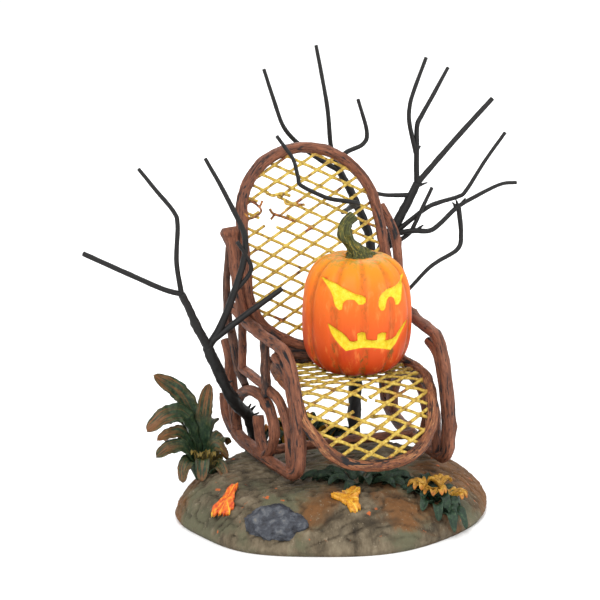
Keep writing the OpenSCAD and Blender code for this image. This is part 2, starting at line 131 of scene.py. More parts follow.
def plain_material(name, colour, roughness):
    material = bpy.data.materials.new(name)
    material.use_nodes = True
    shader = material.node_tree.nodes["Principled BSDF"]
    shader.inputs["Base Color"].default_value = (*colour, 1)
    shader.inputs["Roughness"].default_value = roughness
    return material


class Paint:
    """A small helper that adds nodes to one material and links them."""

    def __init__(self, name, roughness, specular=0.4):
        self.material = plain_material(name, (0.5, 0.5, 0.5), roughness)
        self.tree = self.material.node_tree
        self.shader = self.tree.nodes["Principled BSDF"]
        self.shader.inputs["Specular IOR Level"].default_value = specular

    def node(self, kind, **values):
        made = self.tree.nodes.new(kind)
        for key, value in values.items():
            setattr(made, key, value)
        return made

    def link(self, source, target):
        self.tree.links.new(source, target)

    def attribute(self, name):
        return self.node("ShaderNodeAttribute", attribute_name=name).outputs["Vector"]

    def place(self, scale=(1, 1, 1)):
        """Object coordinates in millimetres, times scale."""
        coordinates = self.node("ShaderNodeTexCoord").outputs["Object"]
        return self.stretch(coordinates, tuple(1000 * s for s in scale))

    def stretch(self, vector, scale):
        mapping = self.node("ShaderNodeMapping")
        mapping.inputs["Scale"].default_value = scale
        self.link(vector, mapping.inputs["Vector"])
        return mapping.outputs["Vector"]

    def noise(self, vector, scale, detail=5.0, rough=0.6, distortion=0.0):
        made = self.node("ShaderNodeTexNoise")
        for key, value in (("Scale", scale), ("Detail", detail), ("Roughness", rough), ("Distortion", distortion)):
            made.inputs[key].default_value = value
        self.link(vector, made.inputs["Vector"])
        return made.outputs["Fac"]

    def split(self, vector):
        made = self.node("ShaderNodeSeparateXYZ")
        self.link(vector, made.inputs["Vector"])
        return made.outputs

    def ramp(self, value, stops):
        made = self.node("ShaderNodeValToRGB")
        ramp = made.color_ramp
        while len(ramp.elements) < len(stops):
            ramp.elements.new(0.5)
        for element, (at, colour) in zip(ramp.elements, stops):
            element.position = at
            element.color = (*colour, 1)
        self.link(value, made.inputs["Fac"])
        return made.outputs["Color"]

    def mask(self, value, low, high):
        """0 below low, 1 above high, and smooth between."""
        made = self.node("ShaderNodeMapRange", interpolation_type="SMOOTHSTEP")
        made.inputs["From Min"].default_value = low
        made.inputs["From Max"].default_value = high
        self.link(value, made.inputs["Value"])
        return made.outputs["Result"]

    def maths(self, operation, a, b):
        made = self.node("ShaderNodeMath", operation=operation, use_clamp=True)
        for value, socket in zip((a, b), made.inputs):
            if isinstance(value, (int, float)):
                socket.default_value = value
            else:
                self.link(value, socket)
        return made.outputs["Value"]

    def mix(self, factor, a, b):
        made = self.node("ShaderNodeMix", data_type="RGBA")
        self.link(factor, made.inputs["Factor"])
        for value, socket in ((a, made.inputs[6]), (b, made.inputs[7])):
            if isinstance(value, tuple):
                socket.default_value = (*value, 1)
            else:
                self.link(value, socket)
        return made.outputs[2]

    def finish(self, colour, bump=None, strength=0.4, depth=0.2, roughness=None):
        """colour goes to the base colour. depth is the bump's height in millimetres."""
        self.link(colour, self.shader.inputs["Base Color"])
        if bump is not None:
            made = self.node("ShaderNodeBump")
            made.inputs["Strength"].default_value = strength
            made.inputs["Distance"].default_value = depth * MM
            self.link(bump, made.inputs["Height"])
            self.link(made.outputs["Normal"], self.shader.inputs["Normal"])
        if roughness is not None:
            self.link(roughness, self.shader.inputs["Roughness"])
        return self.material


def bark_paint(name, dark, mid, light, pale_dust_and_highlight, streaks):
    """Painted bough: long streaks, black cracks, and on the high places pale dry-brushing together with a painted
    highlight.
    """
    paint = Paint(name, 0.55, 0.3)
    grain = paint.attribute("grain")
    broad = paint.noise(grain, 0.9, 7, 0.68)
    fine = paint.noise(grain, 2.8, 5, 0.7)
    colour = paint.ramp(broad, [(0.32, dark), (0.44, mid), (0.57, light), (0.72, pale_dust_and_highlight)])
    # Pale flecks on the high places of the bump: dry-brushed paint and a painted highlight
    dust_and_highlight = paint.mix(paint.mask(fine, 0.56, 0.68), colour, pale_dust_and_highlight)
    pitted = paint.mix(paint.mask(fine, 0.44, 0.37), dust_and_highlight, tuple(0.35 * c for c in dark))
    patches = paint.noise(paint.place(), 0.13, 4, 0.6)
    crack = paint.noise(grain, 0.8, 5, 0.6, 0.8)
    black = paint.maths("MULTIPLY", paint.mask(crack, streaks, streaks + 0.05), paint.mask(patches, 0.42, 0.56))
    final = paint.mix(black, pitted, (0.006, 0.005, 0.006))
    rough = paint.ramp(fine, [(0.3, (0.45, 0.45, 0.45)), (0.7, (0.75, 0.75, 0.75))])
    return paint.finish(final, fine, 0.9, 0.34, rough)


def wire_paint():
    paint = Paint("black_wire_paint", 0.5, 0.3)
    fine = paint.noise(paint.attribute("grain"), 3.2, 5, 0.65)
    colour = paint.ramp(fine, [(0.35, (0.002, 0.002, 0.002)), (0.6, (0.008, 0.0075, 0.007)),
                               (0.8, (0.03, 0.027, 0.026))])
    rough = paint.ramp(fine, [(0.3, (0.45, 0.45, 0.45)), (0.7, (0.7, 0.7, 0.7))])
    return paint.finish(colour, fine, 0.6, 0.14, rough)


def straw_paint():
    """Golden strips that turn orange and dark brown near the rim, with worn dark places."""
    paint = Paint("straw_lattice_paint", 0.5, 0.3)
    place = paint.place()
    fine = paint.noise(place, 0.9, 5, 0.6)
    broad = paint.noise(place, 0.16, 3, 0.5)
    gold = paint.ramp(fine, [(0.32, (0.13, 0.07, 0.012)), (0.44, (0.34, 0.21, 0.028)), (0.58, (0.5, 0.36, 0.06)),
                             (0.76, (0.64, 0.52, 0.17))])
    rust = paint.ramp(fine, [(0.35, (0.03, 0.012, 0.006)), (0.5, (0.16, 0.045, 0.012)), (0.65, (0.4, 0.15, 0.03))])
    near_rim = paint.split(paint.attribute("grain"))["X"]
    worn = paint.maths("ADD", paint.mask(near_rim, 0.3, 0.95), paint.mask(broad, 0.57, 0.7))
    return paint.finish(paint.mix(worn, gold, rust), fine, 0.5, 0.12)


def pumpkin_paint():
    """Orange skin, yellower on top and redder below, with brown strokes in the grooves and a yellow face."""
    paint = Paint("pumpkin_skin_paint", 0.5, 0.18)
    place = paint.place((1, 1, 0.3))
    fine = paint.noise(place, 0.45, 6, 0.65)
    skin_at = paint.split(paint.attribute("skin"))
    height = skin_at["Z"]
    skin = paint.ramp(height, [(0.0, (0.3, 0.025, 0.004)), (0.15, (0.46, 0.045, 0.005)),
                               (0.45, (0.57, 0.082, 0.01)), (0.75, (0.63, 0.13, 0.01)), (0.95, (0.62, 0.21, 0.01))])
    pale = paint.mix(paint.mask(fine, 0.5, 0.78), skin, (0.7, 0.21, 0.045))
    wide = paint.noise(place, 0.12, 4, 0.6)
    shadow = paint.mix(paint.mask(wide, 0.56, 0.72), pale, (0.4, 0.035, 0.006))
    strokes = paint.noise(place, 0.8, 6, 0.7)
    low = paint.mask(height, 0.42, 0.12)
    groove = paint.maths("MULTIPLY", paint.mask(skin_at["Y"], 0.2, 0.8), paint.mask(strokes, 0.5, 0.6))
    lines = paint.maths("MULTIPLY", groove, paint.maths("ADD", low, 0.3))
    seams = paint.maths("MULTIPLY", paint.mask(skin_at["Y"], 0.3, 1.0), 0.35)
    grooved = paint.mix(lines, paint.mix(seams, shadow, (0.36, 0.06, 0.008)), (0.13, 0.065, 0.01))
    crown = paint.maths("MULTIPLY", paint.mask(height, 0.9, 1.0), paint.mask(strokes, 0.46, 0.56))
    crowned = paint.mix(crown, grooved, (0.33, 0.2, 0.015))
    specks = paint.noise(paint.place(), 0.9, 6, 0.75)
    scuffs = paint.maths("MULTIPLY", paint.mask(specks, 0.63, 0.67), 0.5)
    aged = paint.mix(scuffs, crowned, (0.22, 0.11, 0.015))
    glow = paint.ramp(specks, [(0.35, (0.58, 0.36, 0.012)), (0.5, (0.66, 0.5, 0.02)), (0.75, (0.72, 0.6, 0.08))])
    face = paint.mask(skin_at["X"], 0.15, 0.5)
    return paint.finish(paint.mix(face, aged, glow), fine, 0.4, 0.2)


def stem_paint():
    paint = Paint("stem_paint", 0.6, 0.3)
    grain = paint.attribute("grain")
    fine = paint.noise(grain, 2.2, 7, 0.72)
    colour = paint.ramp(fine, [(0.36, (0.01, 0.01, 0.004)), (0.48, (0.04, 0.045, 0.009)), (0.57, (0.1, 0.1, 0.018)),
                               (0.64, (0.32, 0.2, 0.025))])
    return paint.finish(colour, fine, 0.9, 0.35)


def ground_paint():
    """Grey-olive earth with brown washes, dark hollows, pale ridges and orange specks."""
    paint = Paint("ground_earth_paint", 0.75, 0.25)
    place = paint.place()
    runs = paint.place((1, 1, 0.28))
    broad = paint.noise(place, 0.035, 5, 0.6, 0.4)
    middle = paint.noise(runs, 0.2, 7, 0.7)
    fine = paint.noise(runs, 0.9, 6, 0.7)
    earth = paint.ramp(middle, [(0.32, (0.035, 0.027, 0.017)), (0.45, (0.095, 0.072, 0.043)),
                                (0.57, (0.155, 0.122, 0.078)), (0.76, (0.24, 0.2, 0.13))])
    olive = paint.mix(paint.mask(paint.noise(place, 0.05, 4, 0.6), 0.48, 0.6), earth, (0.1, 0.095, 0.055))
    wash = paint.mix(paint.mask(broad, 0.47, 0.6), olive, (0.14, 0.062, 0.02))
    hollow = paint.split(paint.attribute("hollow"))["X"]
    shaded = paint.mix(paint.maths("MULTIPLY", hollow, 0.9), wash, (0.025, 0.018, 0.01))
    ridges = paint.mix(paint.mask(fine, 0.58, 0.74), shaded, (0.27, 0.22, 0.15))
    specks = paint.noise(place, 0.3, 3, 0.5)
    return paint.finish(paint.mix(paint.mask(specks, 0.68, 0.74), ridges, (0.42, 0.1, 0.025)), fine, 1.0, 0.5)


def stone_paint():
    paint = Paint("blue_stone_paint", 0.5)
    place = paint.place()
    broad = paint.noise(place, 0.3, 7, 0.7)
    fine = paint.noise(place, 1.1, 5, 0.65)
    colour = paint.ramp(broad, [(0.38, (0.01, 0.01, 0.014)), (0.5, (0.03, 0.034, 0.045)),
                                (0.6, (0.075, 0.08, 0.09)), (0.72, (0.16, 0.14, 0.11))])
    return paint.finish(colour, fine, 0.8, 0.4)


def blade_paint(name, body, light, edge, tip_from=0.72):
    """Leaf paint. The blade attribute holds the place across and along the leaf, and a random number."""
    paint = Paint(name, 0.5)
    blade = paint.split(paint.attribute("blade"))
    place = paint.place()
    fine = paint.noise(place, 0.9, 5, 0.65)
    green = paint.ramp(fine, [(0.35, tuple(0.45 * c for c in body)), (0.52, body), (0.72, light)])
    across = paint.maths("ADD", blade["X"], paint.maths("MULTIPLY", fine, 0.3))
    rim = paint.mask(across, 0.98, 1.22)
    tip = paint.mask(paint.maths("ADD", blade["Y"], paint.maths("MULTIPLY", fine, 0.25)), tip_from, 1.15)
    edges = paint.mix(rim, green, edge)
    brushed = paint.noise(paint.stretch(paint.attribute("blade"), (5, 2.2, 7)), 1, 7, 0.72)
    tipped = paint.mix(paint.maths("MULTIPLY", tip, paint.mask(brushed, 0.42, 0.58)), edges, edge)
    colour = paint.mix(paint.mask(brushed, 0.6, 0.68), tipped, tuple(0.5 * (a + b) for a, b in zip(light, edge)))
    return paint.finish(colour, brushed, 0.6, 0.5)


def fallen_paint(name, deep, bright, vein):
    paint = Paint(name, 0.45)
    blade = paint.split(paint.attribute("blade"))
    fine = paint.noise(paint.place(), 0.8, 5, 0.6)
    colour = paint.ramp(fine, [(0.35, deep), (0.55, bright), (0.75, vein)])
    veined = paint.mix(paint.mask(blade["Z"], 0.55, 0.95), colour, vein)
    return paint.finish(veined, fine, 0.4, 0.2)


# ---- Mesh helpers ---------------------------------------------------------------------------------

def make_piece(name, points, faces, material, body, nodes=(), attributes=None):
    """Makes one piece from millimetre points, lets it ride on a body and stand for CAD nodes."""
    mesh = bpy.data.meshes.new(name)
    mesh.from_pydata([Vector(p) * MM for p in points], [], faces)
    mesh.validate()
    for key, values in (attributes or {}).items():
        layer = mesh.attributes.new(key, "FLOAT_VECTOR", "POINT")
        layer.data.foreach_set("vector", [c for value in values for c in value])
    for face in mesh.polygons:
        face.use_smooth = True
    piece = bpy.data.objects.new(name, mesh)
    bpy.context.collection.objects.link(piece)
    mesh.materials.append(material)
    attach(piece, body)
    if nodes:
        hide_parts(*nodes)
    return piece


def rounds(rows, columns, first=0, flip=False):
    """Faces between rows of points that each run once round."""
    faces = []
    for row in range(rows - 1):
        for k in range(columns):
            a, b = first + row * columns + k, first + row * columns + (k + 1) % columns
            faces.append((a, a + columns, b + columns, b) if flip else (a, b, b + columns, a + columns))
    return faces


def curve_point(a, b, c, d, t):
    return 0.5 * (2 * b + (c - a) * t + (2 * a - 5 * b + 4 * c - d) * t * t + (3 * b - a - 3 * c + d) * t ** 3)


def smooth_route(route, spacing):
    """The smooth curve through a route, with a point about every spacing millimetres."""
    route = [Vector(p) for p in route]
    padded = [2 * route[0] - route[1], *route, 2 * route[-1] - route[-2]]
    path = []
    for a, b, c, d in zip(padded, padded[1:], padded[2:], padded[3:]):
        steps = max(1, round((c - b).length / spacing))
        path += [curve_point(a, b, c, d, k / steps) for k in range(steps)]
    return [*path, route[-1]]


class Shape:
    """Points, faces and one vector attribute, gathered for one piece."""

    def __init__(self):
        self.points, self.faces, self.grain = [], [], []

    def ring(self, centre, normal, side, radii, along):
        first = len(self.points)
        for k, radius in enumerate(radii):
            turn = 2 * pi * k / len(radii)
            self.points.append(centre + radius * (cos(turn) * normal + sin(turn) * side))
            self.grain.append((radius * cos(turn), radius * sin(turn), along))
        return first

    def bridge(self, first, second, count):
        for k in range(count):
            self.faces.append((first + k, first + (k + 1) % count, second + (k + 1) % count, second + k))

    def cap(self, first, count, centre, along, flip):
        middle = len(self.points)
        self.points.append(centre)
        self.grain.append((0, 0, along))
        for k in range(count):
            a, b = first + k, first + (k + 1) % count
            self.faces.append((a, middle, b) if flip else (b, middle, a))

    def sweep(self, route, r0, r1, sides=24, spacing=0.5, rough=0.12, grooves=(), knots=(), lobes=0, flare=None):
        """A bough along a route. grooves are angles, knots are (share of the length, angle, height)."""
        path = smooth_route(route, spacing)
        count = len(path)
        seed = 37.0 * len(self.points) + 11.3 * route[0][0] + 5.7 * route[0][2]
        tangents = [(path[min(i + 1, count - 1)] - path[max(i - 1, 0)]).normalized() for i in range(count)]
        normal = Vector((1, 0, 0)) if abs(tangents[0].x) < 0.8 else Vector((0, 0, 1))
        along, rings = 0.0, []
        for i, (centre, tangent) in enumerate(zip(path, tangents)):
            normal = (normal - tangent * normal.dot(tangent)).normalized()
            side = tangent.cross(normal)
            along += (centre - path[max(i - 1, 0)]).length
            share = i / (count - 1)
            base = r0 + (r1 - r0) * share
            if flare:
                base *= flare(share)
            base *= 1 + 0.5 * rough * noise.noise(Vector((along * 0.16, seed, 0)))
            radii = []
            for k in range(sides):
                turn = 2 * pi * k / sides
                grain = Vector((base * cos(turn), base * sin(turn), along * 0.25 + seed))
                factor = 1 + rough * noise.noise(grain) + 0.6 * rough * noise.noise(2.7 * grain)
                if lobes:
                    factor += 0.16 * cos(lobes * turn + 0.12 * along)
                for angle in grooves:
                    wander = 0.5 * noise.noise(Vector((along * 0.07, angle, seed)))
                    gap = (turn - angle - wander + pi) % (2 * pi) - pi
                    factor -= 0.2 * exp(-(gap / 0.24) ** 2)
                for at, angle, height in knots:
                    gap = (turn - angle + pi) % (2 * pi) - pi
                    reach = ((share - at) * count * spacing / (1.1 * base)) ** 2 + (gap / 0.75) ** 2
                    factor += height * exp(-reach)
                radii.append(base * factor)
            rings.append((centre, normal.copy(), side, radii, GRAIN_STRETCH * along + seed % 91))
        self.end(rings[0], -tangents[0], sides, True)
        firsts = [self.ring(*ring) for ring in rings]
        for a, b in zip(firsts, firsts[1:]):
            self.bridge(a, b, sides)
        self.bridge(self.start_ring, firsts[0], sides)
        self.end(rings[-1], tangents[-1], sides, False)
        self.bridge(firsts[-1], self.end_ring, sides)

    def end(self, ring, outward, sides, start):
        """A cut end: a small bevel and a slightly uneven flat face."""
        centre, normal, side, radii, along = ring
        radius = sum(radii) / sides
        outer = self.ring(centre + outward * 0.12 * radius, normal, side, [0.88 * r for r in radii], along)
        inner = self.ring(centre + outward * (0.1 * radius), normal, side, [0.45 * r for r in radii], along + 0.6)
        self.cap(inner, sides, centre + outward * 0.06 * radius, along + 1, not start)
        if start:
            self.bridge(inner, outer, sides)
            self.start_ring = outer
        else:
            self.bridge(outer, inner, sides)
            self.end_ring = outer

    def piece(self, name, material, body, nodes=(), slot=None):
        return make_piece(name, self.points, self.faces, material, body, nodes, {"grain": self.grain})


def bough_piece(node, route, r0, r1, coat, **look):
    """One bough of the chair, standing for the CAD node of the same name. coat is its material and a paint slot
    name, which is not used.
    """
    shape = Shape()
    shape.sweep(route, r0, r1, **look)
    shape.piece(node + "_bough", coat[0], "chair", (node,), coat[1])


# ---- Ground ---------------------------------------------------------------------------------------

def mound_outline(turn):
    return (1 + 0.022 * sin(3 * turn + radians(20)) + 0.012 * sin(7 * turn) + 0.01 * cos(5 * turn)) / OUTLINE_PEAK


def level_share(level, turn):
    return level[1] + (level[2] - level[1]) * max(0.0, cos(turn))


def mound_height(share, turn):
    """Height of the mound where the distance from its centre is this share of its outline."""
    for lower, upper in zip(MOUND_LEVELS[1:], MOUND_LEVELS[2:]):
        outer, inner = level_share(lower, turn), level_share(upper, turn)
        if share >= inner:
            t = min(1.0, max(0.0, (outer - share) / (outer - inner)))
            return lower[0] + t * (upper[0] - lower[0])
    return GROUND_Z


def ground_height(x, y):
    dx, dy = (x - MOUND_CENTRE[0]) / MOUND_HALF[0], (y - MOUND_CENTRE[1]) / MOUND_HALF[1]
    turn = atan2(dy, dx)
    return mound_height(hypot(dx, dy) / mound_outline(turn), turn)


def earth_relief(p):
    """Sculpted relief of the earth in millimetres, never above the smooth ground: lumps, ruts and scratches."""
    lumps = noise.fractal(p * 0.07, 0.9, 2.1, 4)
    ruts = 1 - abs(noise.noise(Vector((p.x * 0.11 + 0.04 * p.y, p.y * 0.3, p.z * 0.25))))
    scratch_turn = 0.7 * noise.noise(p * 0.03)
    c, s = cos(scratch_turn), sin(scratch_turn)
    scratch = noise.noise(Vector(((c * p.x + s * p.y) * 0.16, (c * p.y - s * p.x) * 1.1, p.z * 0.8)))
    grit = noise.fractal(p * 0.45, 0.8, 2.1, 3)
    return -0.65 + 0.6 * lumps - 0.8 * max(0.0, ruts - 0.86) / 0.14 + 0.3 * scratch + 0.2 * grit


def mound_place(share, turn, z):
    r = share * mound_outline(turn)
    return Vector((MOUND_CENTRE[0] + MOUND_HALF[0] * r * cos(turn),
                   MOUND_CENTRE[1] + MOUND_HALF[1] * r * sin(turn), z))


def mound_share(z, turn):
    """Share of the outline that the mound's side reaches at a height."""
    for lower, upper in zip(MOUND_LEVELS, MOUND_LEVELS[1:]):
        if z <= upper[0]:
            t = (z - lower[0]) / (upper[0] - lower[0])
            return level_share(lower, turn) + t * (level_share(upper, turn) - level_share(lower, turn))
    return TOP_SHARE


def make_mound():
    columns, walls, crown = 420, 40, 74
    points, hollow = [], []
    for row in range(walls + crown):
        t = min(1.0, row / walls)
        z = GROUND_Z * (1 - (1 - t) ** 1.25)
        lean = t ** 2
        for k in range(columns):
            turn = 2 * pi * k / columns
            if row > walls:
                share = TOP_SHARE * (1 - (row - walls) / crown)
            else:
                share = mound_share(min(z, GROUND_Z - 0.001), turn)
            p = mound_place(share, turn, z)
            outward = Vector((p.x - MOUND_CENTRE[0], p.y - MOUND_CENTRE[1], 0)).normalized()
            relief = earth_relief(p) * min(1.0, 4 * t)
            points.append(p + (outward * (1 - lean) + Vector((0, 0, lean))).normalized() * relief)
            hollow.append((max(0.0, min(1.0, -0.9 * relief - 0.45)), 0, 0))
    faces = rounds(walls + crown, columns)
    last_row = (walls + crown - 1) * columns
    points.append(Vector((MOUND_CENTRE[0], MOUND_CENTRE[1], GROUND_Z - 0.4)))
    hollow.append((0, 0, 0))
    for k in range(columns):
        faces.append((last_row + k, last_row + (k + 1) % columns, len(points) - 1))
    faces.append(tuple(range(columns - 1, -1, -1)))
    make_piece("earth_mound", points, faces, ground_paint(), "ground", ("mound",), {"hollow": hollow})


def make_stone():
    """A flat chipped stone on the front slope: a lump cut by a few planes."""
    rng = random.Random(4)
    rings, columns = 30, 72
    tilt = (Matrix.Rotation(radians(-30), 4, "Z") @ Matrix.Rotation(radians(-5), 4, "Y")
            @ Matrix.Rotation(radians(44), 4, "X"))
    centre = Vector((-32.6, -28, 9.2))
    cuts = [(Vector((rng.uniform(-1, 1), rng.uniform(-1, 1), rng.uniform(-0.1, 0.5))).normalized(),
             rng.uniform(0.74, 0.9)) for _ in range(11)]
    cuts += [(Vector((0.05, -0.04, 1)).normalized(), 0.6), (Vector((0.3, 0.2, 1)).normalized(), 0.66)]
    points = []
    for i in range(rings + 1):
        polar = pi * i / rings
        for k in range(columns):
            turn = 2 * pi * k / columns
            d = Vector((sin(polar) * cos(turn), sin(polar) * sin(turn), cos(polar)))
            length = min([1.0] + [limit / d.dot(n) for n, limit in cuts if d.dot(n) > 1e-6])
            p = d * length
            p += d * 0.12 * noise.fractal(p * 2.6, 0.7, 2.1, 5)
            points.append(centre + tilt @ Vector((9.4 * p.x, 6.2 * p.y, 2.6 * p.z)))
    make_piece("blue_stone", points, rounds(rings + 1, columns, flip=True), stone_paint(), "ground", ("stone",), {})


# ---- Leaves ---------------------------------------------------------------------------------------

# Leaves of one plant are spread by the golden angle
GOLDEN_TURN = 2.39996


class Foliage:
    """Leaf blades gathered for one plant."""

    def __init__(self, seed, facing=(0, 0, 1)):
        self.points, self.faces, self.blade = [], [], []
        self.rng = random.Random(seed)
        self.facing = Vector(facing)

    def blade_along(self, route, width, thick, cup=0.3, blunt=5.0):
        """A creased blade along a route, with two skins, a foot half as wide and a round tip."""
        across = 9
        path = smooth_route(route, 0.55)
        count = len(path)
        tone = self.rng.random()
        tangents = [(path[min(i + 1, count - 1)] - path[max(i - 1, 0)]).normalized() for i in range(count)]
        level = (path[-1] - path[0]).cross(self.facing)
        top, bottom = [], []
        for i, (middle, tangent) in enumerate(zip(path, tangents)):
            t = i / (count - 1)
            side = (level - tangent * level.dot(tangent)).normalized()
            up = side.cross(tangent).normalized()
            span = width * (0.5 + 0.5 * sin(min(1.0, t / 0.5) * pi / 2)) * sqrt(max(0.0, 1 - t ** blunt))
            span = max(span, 0.04 * width)
            rows = [], []
            for k in range(across):
                x = 2 * k / (across - 1) - 1
                ripple = 1 + 0.1 * noise.noise(Vector((0.5 * i, 3.1 * tone, x)))
                lift = cup * span * (abs(x) ** 1.3 - 0.4) + 0.05 * span * sin(0.7 * i + 6 * tone) * x
                lift += 0.12 * noise.noise(Vector((0.9 * i, 5 * x, 9 * tone)))
                depth = thick * (1 - 0.75 * x * x) * (1 - 0.4 * t)
                for row, drop in zip(rows, (0, depth)):
                    row.append(len(self.points))
                    self.points.append(middle + side * (0.5 * span * x * ripple) + up * (lift - drop))
                    self.blade.append((abs(x), t, tone))
            top.append(rows[0])
            bottom.append(rows[1])
        for i in range(count - 1):
            for k in range(across - 1):
                self.faces.append((top[i][k], top[i][k + 1], top[i + 1][k + 1], top[i + 1][k]))
                self.faces.append((bottom[i][k], bottom[i + 1][k], bottom[i + 1][k + 1], bottom[i][k + 1]))
            self.faces.append((top[i][0], top[i + 1][0], bottom[i + 1][0], bottom[i][0]))
            self.faces.append((top[i][-1], bottom[i][-1], bottom[i + 1][-1], top[i + 1][-1]))
        for i, order in ((0, 1), (count - 1, -1)):
            for k in range(across - 1):
                self.faces.append((top[i][k], bottom[i][k], bottom[i][k + 1], top[i][k + 1])[::order])

    def leaf(self, foot, turn, reach, rise, droop, width, thick=0.5, cup=0.3, blunt=2.5):
        """A blade from foot that climbs rise, then falls droop at its tip."""
        forward = Vector((cos(turn), sin(turn), 0))
        side = Vector((-forward.y, forward.x, 0)) * self.rng.uniform(-0.14, 0.14) * reach
        up = Vector((0, 0, 1))
        route = [foot, foot + forward * 0.35 * reach + up * 0.75 * rise,
                 foot + forward * 0.72 * reach + up * rise + 0.5 * side,
                 foot + forward * reach + up * (rise - droop) + side]
        self.blade_along(route, width, thick, cup, blunt)

    def on_ground(self, centre, forward, count, reach, rise, droop, width, spread):
        """Leaves that grow from a patch of ground and follow it outwards. spread is the patch's half size."""
        along = Vector(forward).normalized()
        across = Vector((-along.y, along.x))
        for k in range(count):
            turn = k * GOLDEN_TURN
            share = sqrt((k + 0.5) / count)
            offset = along * (spread[0] * share * cos(turn)) + across * (spread[1] * share * sin(turn))
            x, y = centre[0] + offset.x, centre[1] + offset.y
            way = atan2(offset.y, offset.x) + self.rng.uniform(-0.5, 0.5)
            length = reach * (0.7 + 0.5 * share) * self.rng.uniform(0.85, 1.15)
            height = rise * (1.15 - 0.7 * share)
            tip_x, tip_y = x + length * cos(way), y + length * sin(way)
            slope = ground_height(tip_x, tip_y) - ground_height(x, y)
            foot = Vector((x, y, ground_height(x, y) - 0.7))
            self.leaf(foot, way, length, height + 0.4 * max(slope, -6), droop - 0.5 * max(slope, -6), width, 0.5)

    def piece(self, name, material, nodes=(), slot=None):
        return make_piece(name, self.points, self.faces, material, "ground", nodes, {"blade": self.blade})


BROAD_LEAVES = [  # width, then the route from the crown to the tip
    (5.4, [(-40, 19, 15), (-41.5, 19.6, 27), (-45.5, 20.6, 37), (-54, 21.6, 44)]),
    (4.6, [(-39.5, 18.6, 14), (-39.4, 18.8, 24), (-38.4, 19, 33), (-36.8, 19.4, 40)]),
    (5.8, [(-40, 17.5, 16), (-45, 17, 30.5), (-52, 15.4, 32.4), (-59, 14, 28.6)]),
    (3.4, [(-40.5, 22, 16), (-43, 23.6, 27), (-46.6, 25, 30.4), (-50, 26, 32)]),
    (3.6, [(-41, 16, 15), (-47, 14.8, 26), (-52, 13, 27.4), (-56.4, 12, 26.2)]),
    (4.4, [(-41.5, 14.5, 14), (-47, 12.6, 22.4), (-52.6, 11.2, 23.4), (-57.4, 10, 21.4)]),
    (4.0, [(-42, 13.5, 12), (-46, 11.4, 18.6), (-48.6, 9.4, 17), (-49.6, 8.4, 12.6)]),
    (4.2, [(-40, 14, 13), (-38.6, 12.4, 21.6), (-36.4, 10.8, 21.8), (-34.2, 9.4, 18.4)]),
    (4.6, [(-38.5, 21, 14), (-37, 23, 24), (-34.4, 25, 27), (-31.8, 27, 25.4)]),
    (4.0, [(-41, 13, 12), (-42.4, 9.6, 19), (-43.4, 7.6, 17.4), (-44, 6.2, 13)]),
    (4.4, [(-38, 16, 14), (-35, 17, 22.6), (-32.6, 18, 22.8), (-30.6, 19, 20)]),
    (4.2, [(-40, 24, 13), (-42, 29, 21), (-44.4, 33, 21.4), (-46.6, 36, 18)]),
    (4.2, [(-38, 24, 13), (-36, 30, 20), (-34, 33.4, 20), (-32.4, 35.6, 17)]),
    (3.6, [(-40, 12, 12), (-38.4, 8, 17.4), (-37.6, 5.6, 16.6), (-37.2, 4, 14.4)]),
]


def make_plants():
    green = blade_paint("broad_leaf_paint", (0.012, 0.036, 0.013), (0.06, 0.085, 0.03), (0.22, 0.07, 0.016), 0.55)
    dark_green = blade_paint("low_leaf_paint", (0.01, 0.032, 0.014), (0.04, 0.075, 0.034), (0.06, 0.06, 0.02), 1.0)
    petal = blade_paint("petal_paint", (0.4, 0.2, 0.02), (0.55, 0.36, 0.05), (0.42, 0.06, 0.01), 0.75)
    moss = blade_paint("moss_paint", (0.03, 0.03, 0.012), (0.1, 0.08, 0.03), (0.3, 0.2, 0.03), 0.3)
    plant = Foliage(3, (-0.25, -0.65, 0.7))
    for width, route in BROAD_LEAVES:
        plant.blade_along(route, 1.1 * width, 1.4, 0.2, 7)
    plant.piece("broad_plant_leaves", green, ("broad_plant",), "plant_paint")
    crown = Foliage(31)
    for k in range(26):
        turn = 2.4 * k
        foot = Vector((-40.4 + 2.4 * cos(turn), 15 + 3.6 * sin(turn), 12.5))
        crown.leaf(foot, turn, 3.4 + 1.5 * crown.rng.random(), 5 + 5 * crown.rng.random(), 1.2, 2.2, 0.7)
    crown.piece("broad_plant_crown", moss, (), "plant_paint")

    low = Foliage(8, (-0.1, -0.4, 0.9))
    low.on_ground((-1, -17.5), (0.93, -0.36), 20, 7.4, 3.4, 2, 3.6, (9.5, 3.4))
    low.piece("low_plant_leaves", dark_green, ("low_plant",), "plant_paint")

    flower, petals = Foliage(12, (-0.1, -0.4, 0.9)), Foliage(14)
    flower.on_ground((18.5, -29.6), (0.3, -0.95), 18, 6.6, 4.4, 2, 3.5, (3.4, 3))
    flower.piece("flower_plant_leaves", dark_green, ("flower_plant",), "plant_paint")
    for x, y, rise, way in ((14.6, -30.4, 2.6, 2.9), (20, -30, 4.4, 1.4), (23.6, -31, 3.2, 0.1),
                            (17.4, -31.4, 2.8, 4.2)):
        centre = Vector((x, y, ground_height(x, y) + rise))
        for k in range(5):
            petals.leaf(centre, way + 0.62 * (k - 2), 5.2 - 0.5 * abs(k - 2), 2.2, 1.6, 2.7, 0.5, 0.35, 2.4)
    petals.piece("flower_petals", petal)

    rear, sprigs = Foliage(21), Foliage(22)
    rear.on_ground((-2, 32.5), (1, 0.08), 36, 5.4, 9.5, 2.4, 3.4, (15.5, 3))
    sprigs.on_ground((-3, 31.5), (1, 0.08), 12, 4.2, 10.5, 2, 2.4, (14, 2.2))
    rear.piece("rear_plant_leaves", dark_green, ("rear_plant",), "plant_paint")
    sprigs.piece("rear_plant_petals", petal)


